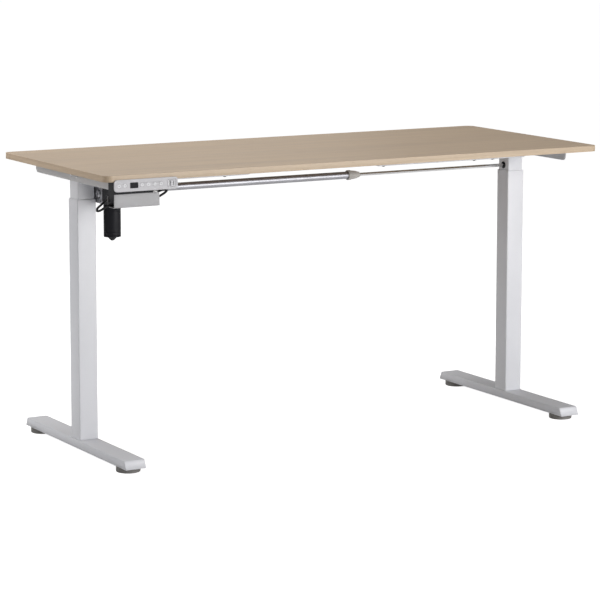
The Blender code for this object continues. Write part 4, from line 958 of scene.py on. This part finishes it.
box_low, box_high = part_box("control_box")
can_low, can_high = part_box("motor_can")
panel_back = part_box("panel_body")[1].y
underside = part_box("tabletop")[0].z
run_y = centre_of(box_low, box_high)[1]
run_z = tray_floor + TRAY_SHEET + LEAD_RADIUS + 1.2 * MM
can_x, front, exit_z = motor_axis[0], can_low.y - 0.8 * MM, can_high.z - 6 * MM
plug_z = underside - 36 * MM
box_right = box_high.x
motor_route = smooth_route([
    (can_x, front, exit_z), (can_x, front - 0.006, exit_z),
    (can_x - 0.006, front - 0.022, exit_z + 0.006), (can_x - 0.024, front - 0.052, exit_z + 0.022),
    (can_x - 0.050, front - 0.092, exit_z + 0.036), (left + 0.022, run_y + 0.056, run_z + 0.008),
    (left - 0.004, run_y + 0.022, run_z + 0.007), (left - 0.022, run_y + 0.008, run_z + 0.001),
    (left - 0.033, run_y + 0.003, run_z - 0.0055), (left - 0.034, run_y, run_z - 0.0110),
    (left - 0.025, run_y - 0.001, run_z - 0.0090), (left - 0.010, run_y, run_z - 0.0015),
    (left + 0.007, run_y, run_z), ((left + right) / 2, run_y, run_z),
    (box_right - 0.012, run_y, run_z), (box_right + 0.004, run_y, run_z + 0.0035),
    (right - 0.002, run_y, run_z + 0.0095), (right + 0.012, run_y, run_z + 0.0160),
    (right + 0.024, run_y, run_z + 0.0225), (right + 0.028, run_y, run_z + 0.0275),
    (right + 0.020, run_y, plug_z + 0.0045), (right + 0.006, run_y, plug_z + 0.0010),
    (right - 0.006, run_y, plug_z), (box_right + LEAD_GAP, run_y, plug_z)])
make_piece("motor_lead_sheath", [swept(motor_route, LEAD_RADIUS)], lead_black, "upper_frame",
           ["motor_lead"])
start_y, short_z = box_low.y + 0.013, underside - 0.011
panel_route = smooth_route([
    (box_right + LEAD_GAP, start_y, short_z), (box_right + 0.006, start_y, short_z),
    (box_right + 0.016, start_y - 0.004, short_z), (box_right + 0.020, panel_back + 0.006, short_z),
    (box_right + 0.020, panel_back + LEAD_GAP, short_z)])
make_piece("panel_lead_sheath", [swept(panel_route, LEAD_RADIUS)], lead_black, "upper_frame",
           ["panel_lead"])
print("lead lengths:", round(length_of(motor_route), 3), round(length_of(panel_route), 3))

# %% Connector and strain reliefs
def block_about(x0, x1, y, z, width, height, edge):
    """A soft-edged block along X, centred on a line."""
    return bar(Vector((x0, y - width / 2, z - height / 2)), Vector((x1, y + width / 2, z + height / 2)),
               "X", 2 * edge, edge, 4)


socket_end = box_right + 9 * MM
socket = block_about(box_right + 0.2 * MM, socket_end, run_y, plug_z, 10 * MM, 8.4 * MM, 0.6 * MM)
make_piece("lead_socket", [socket], black_plastic, "upper_frame")
plug = block_about(socket_end + 0.1 * MM, socket_end + 12 * MM, run_y, plug_z, 9 * MM, 7.2 * MM,
                   0.6 * MM)
latch = block_about(socket_end + 2 * MM, socket_end + 10 * MM, run_y, plug_z + 4 * MM, 4.4 * MM,
                    1.6 * MM, 0.3 * MM)
make_piece("lead_connector", [plug, latch], plug_white, "upper_frame")
relief = rows_from(front, (5, 1), (5, -1.5), (4.5, -2.2), (4, -6), (3.5, -7), (2.85, -7.2))
make_piece("motor_lead_relief", [turned(relief, "Y", (can_x, 0.0, exit_z), 32)], black_plastic,
           "upper_frame")

# %% [markdown]
# ## Screws
#
# Every joint of the frame is bolted. A button-head screw is one lathe profile: a dome, a rim and
# a socket in the middle whose rings are hexagons instead of circles. One function places it
# against a face, pointing along any of the six directions.

# %% Screw heads
SOCKET = 0.42


def screw_head(spot, axis, sign, radius=4.0 * MM, height=2.2 * MM):
    """Dome profile with a hexagonal socket; sign is the direction in which the head stands."""
    rows = [(0.30, 0.45, 1), (0.30, 0.95, 1), (0.36, 1.0, 0), (0.55, 0.98, 0), (0.80, 0.82, 0),
            (0.95, 0.52, 0), (1.0, 0.25, 0), (1.0, -0.1, 0)]
    profile = [(r * radius, sign * w * height) for r, w, _ in rows]
    socket = np.array([s for _, _, s in rows])[:, None]

    def shape(angle, points):
        hexagon = hexagon_reach(angle, 2 * SOCKET * radius * 0.75, SOCKET * radius)
        return socket * (hexagon - points[:, :1])
    return turned(profile, axis, spot, 36, shape)


bracket_screws, flange_screws = [], []
for side, sign in SIDES:
    low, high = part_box(f"{side}_bracket")
    face = low.x if sign < 0 else high.x
    column_y = centre_of(low, high)[1]
    for dy in (10.1 * MM, -24.7 * MM):
        bracket_screws.append(screw_head((face, column_y + dy, high.z - 14.7 * MM), "X", sign))
    flange_x = (high.x if sign < 0 else low.x) + sign * 14 * MM
    for y in (low.y + 16 * MM, low.y + 66 * MM, high.y - 66 * MM, high.y - 16 * MM):
        flange_screws.append(screw_head((flange_x, y, high.z - SHEET), "Z", -1, 4.4 * MM))
    low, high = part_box(f"{side}_inner_column")
    spot = (centre_of(low, high)[0] - 9 * MM, low.y, underside - 32 * MM)
    bracket_screws.append(screw_head(spot, "Y", -1, 3.4 * MM))
make_piece("bracket_screws", bracket_screws, plate_zinc, "upper_frame")
make_piece("flange_screws", flange_screws, plate_zinc, "upper_frame")

RAIL_SCREWS = (-0.274, 0.184, 0.460, 0.517)    # along X; the first is in the left tube
rail_screws = []
for rail in ("front", "back"):
    for x in RAIL_SCREWS:
        low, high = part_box(f"{rail}_rail_{'left' if x == RAIL_SCREWS[0] else 'right'}")
        spot = (x, centre_of(low, high)[1] - 2 * MM, low.z)
        rail_screws.append(screw_head(spot, "Z", -1, 4.6 * MM, 2.8 * MM))
make_piece("rail_screws", rail_screws, bolt_black, "upper_frame")

low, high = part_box("motor_plate")
plate_screws = [screw_head((low.x, high.y - dy, high.z - dz), "X", -1, 3.0 * MM, 1.6 * MM)
                for dy, dz in ((44.8 * MM, 37.8 * MM), (47.7 * MM, 15.5 * MM), (84.5 * MM, 41.4 * MM),
                               (84.5 * MM, 8 * MM), (8 * MM, 41 * MM))]
make_piece("motor_plate_screws", plate_screws, bolt_black, "upper_frame")

low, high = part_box("gear_housing")
cover = [screw_head((high.x, y, z), "X", 1, 2.6 * MM, 1.6 * MM)
         for y in (low.y + 6 * MM, high.y - 6 * MM) for z in (low.z + 6 * MM, high.z - 6 * MM)]
make_piece("gearbox_screws", cover, bolt_black, "upper_frame")
for side, _ in SIDES:
    low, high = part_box(f"{side}_foot")
    x, y = centre_of(low, high)[0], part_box(f"{side}_outer_column")[0].y + 26 * MM
    roof = high.z - FOOT_WALL
    bolts = [screw_head((x + dx, y + dy, roof), "Z", -1, 6.0 * MM, 4.0 * MM)
             for dx in (-15 * MM, 15 * MM) for dy in (-16 * MM, 16 * MM)]
    make_piece(f"{side}_foot_bolts", bolts, plate_zinc, f"{side}_leg")

# %% [markdown]
# ## Pieces that keep their solid
#
# Gears, bearings, nuts and lift screws are hidden in the columns and the gearbox, and their
# solids already have the right shape. They only need their finish, given to the solid's own
# material slot.

# %% Finishes on the kept solids
kept = {"liner": liner_white, "nut_post": rod_steel, "lift_nut": nut_brass,
        "bearing_seat": black_plastic, "screw_bearing": rod_steel, "lift_screw": screw_steel,
        "bevel_pinion": gear_nylon, "bevel_wheel": gear_nylon, "worm_wheel": gear_nylon,
        "worm": screw_steel}
for name, solid in nodes.items():
    part = next((finish for word, finish in kept.items() if word in name), None)
    if solid.hide_render or part is None:
        continue
    solid.data.materials.clear()
    solid.data.materials.append(part)
shown = [name for name, solid in nodes.items() if not solid.hide_render]
print("kept solids:", len(shown), sorted(shown))

# %% [markdown]
# ## Floor, light and camera
#
# The desk stands on a white floor in a white room. A large soft light in front gives the fronts
# their even tone, a nearer one at the left reaches the left leg and hardly the right one, and one
# above lights the board. Two behind brighten the faces that look away from the front. Room and
# floor look white to the camera, greyer in the metal's reflections, and light the desk very little.

# %% Studio
def emitter(name, place, target, size, power):
    """A rectangular area light that looks at a point; the camera doesn't see it."""
    data = bpy.data.lights.new(name, "AREA")
    data.shape = "RECTANGLE"
    data.size, data.size_y = size
    data.energy = power
    lamp = bpy.data.objects.new(name, data)
    lamp.location = place
    aim = Vector(target) - Vector(place)
    lamp.rotation_euler = aim.to_track_quat("-Z", "Y").to_euler()
    lamp.visible_camera = False
    bpy.context.scene.collection.objects.link(lamp)


emitter("front_light", (1.5, -4.2, 1.05), (0.2, 0.0, 0.35), (3.0, 2.2), 136)
emitter("left_light", (-2.1, 0.75, 1.35), (-0.6, 0.0, 0.35), (0.8, 1.0), 12)
emitter("top_light", (-0.2, 0.35, 2.6), (0.0, 0.1, 0.7), (2.4, 1.6), 27)
emitter("rear_light", (-2.2, 3.4, 2.2), (0.0, 0.0, 0.4), (2.4, 1.8), 20)
emitter("far_light", (1.0, 4.0, 2.2), (0.0, 0.0, 0.4), (3.0, 2.4), 9)

ROOM_LIGHT, FLOOR_LIGHT = 0.11, 0.02    # what the desk is lit by
ROOM_SEEN, FLOOR_SEEN = 1.05, 0.9       # what the camera sees
MIRRORED = 0.42                         # what reflections show of both
world = bpy.data.worlds.new("white_room")
bpy.context.scene.world = world
world.use_nodes = True
room = world.node_tree
rays = room.nodes.new("ShaderNodeLightPath").outputs
mirrored, level = (room.nodes.new("ShaderNodeMapRange") for _ in range(2))
room.links.new(rays["Is Glossy Ray"], mirrored.inputs["Value"])
mirrored.inputs["To Min"].default_value = ROOM_LIGHT
mirrored.inputs["To Max"].default_value = MIRRORED
room.links.new(rays["Is Camera Ray"], level.inputs["Value"])
room.links.new(mirrored.outputs["Result"], level.inputs["To Min"])
level.inputs["To Max"].default_value = ROOM_SEEN
room.nodes["Background"].inputs["Color"].default_value = (1.0, 1.0, 1.0, 1.0)
room.links.new(level.outputs["Result"], room.nodes["Background"].inputs["Strength"])

pale = Finish("pale_floor", 0.9, 0.0)
pale.colour(pale.ramp(pale.noise(3.0, 3.0), (0.3, (0.78, 0.78, 0.78)), (0.7, (0.82, 0.82, 0.82))))
rays = pale.node("ShaderNodeLightPath").outputs
mirrored = pale.span(rays["Is Glossy Ray"], FLOOR_LIGHT, MIRRORED, 0.0, 1.0)
glow = pale.span(rays["Is Camera Ray"], mirrored, FLOOR_SEEN, 0.0, 1.0)
pale.tree.links.new(glow, pale.shader.inputs["Emission Strength"])
pale.shader.inputs["Emission Color"].default_value = (1.0, 1.0, 1.0, 1.0)
FLOOR_REACH, LINES, FLOOR_DROP = 40, 9, 0.2 * MM    # a grid just below the glides
span = np.linspace(-FLOOR_REACH, FLOOR_REACH, LINES)
grid_x, grid_y = np.meshgrid(span, span, indexing="ij")
corner = (np.arange(LINES - 1)[:, None] * LINES + np.arange(LINES - 1)[None, :]).ravel()
floor_mesh = bpy.data.meshes.new("floor")
points = np.stack([grid_x, grid_y, 0 * grid_x - FLOOR_DROP], -1).reshape(-1, 3)
faces = np.stack([corner, corner + LINES, corner + LINES + 1, corner + 1], -1)
floor_mesh.from_pydata(points.tolist(), [], faces.tolist())
floor_mesh.materials.append(pale.material)
floor = bpy.data.objects.new("floor", floor_mesh)
bpy.context.scene.collection.objects.link(floor)

# %% [markdown]
# The camera stands far off with a long lens, which keeps the two legs almost parallel. It looks
# at the desk from the front left, a little above the board, dipped by about eight degrees. Sensor
# shift puts the desk in the frame, so the dip stays small and upright edges stay nearly upright.

# %% Camera
CAMERA_PLACE = (-3.2634, -5.7441, 1.4261)
CAMERA_TURN = math.radians(29.1775)
CAMERA_DIP = math.radians(8.1443)
LENS = 156.576                          # millimetres, with a 36 millimetre sensor
SHIFT_X, SHIFT_Y = 0.025, -0.10
view = bpy.data.cameras.new("view")
view.lens = LENS
view.sensor_width = 36.0
view.shift_x = SHIFT_X
view.shift_y = SHIFT_Y
view.clip_end = 200.0
camera = bpy.data.objects.new("view", view)
camera.location = CAMERA_PLACE
camera.rotation_euler = (math.pi / 2 - CAMERA_DIP, 0.0, -CAMERA_TURN)
bpy.context.scene.collection.objects.link(camera)
bpy.context.scene.camera = camera
bpy.context.scene.view_settings.view_transform = "Standard"
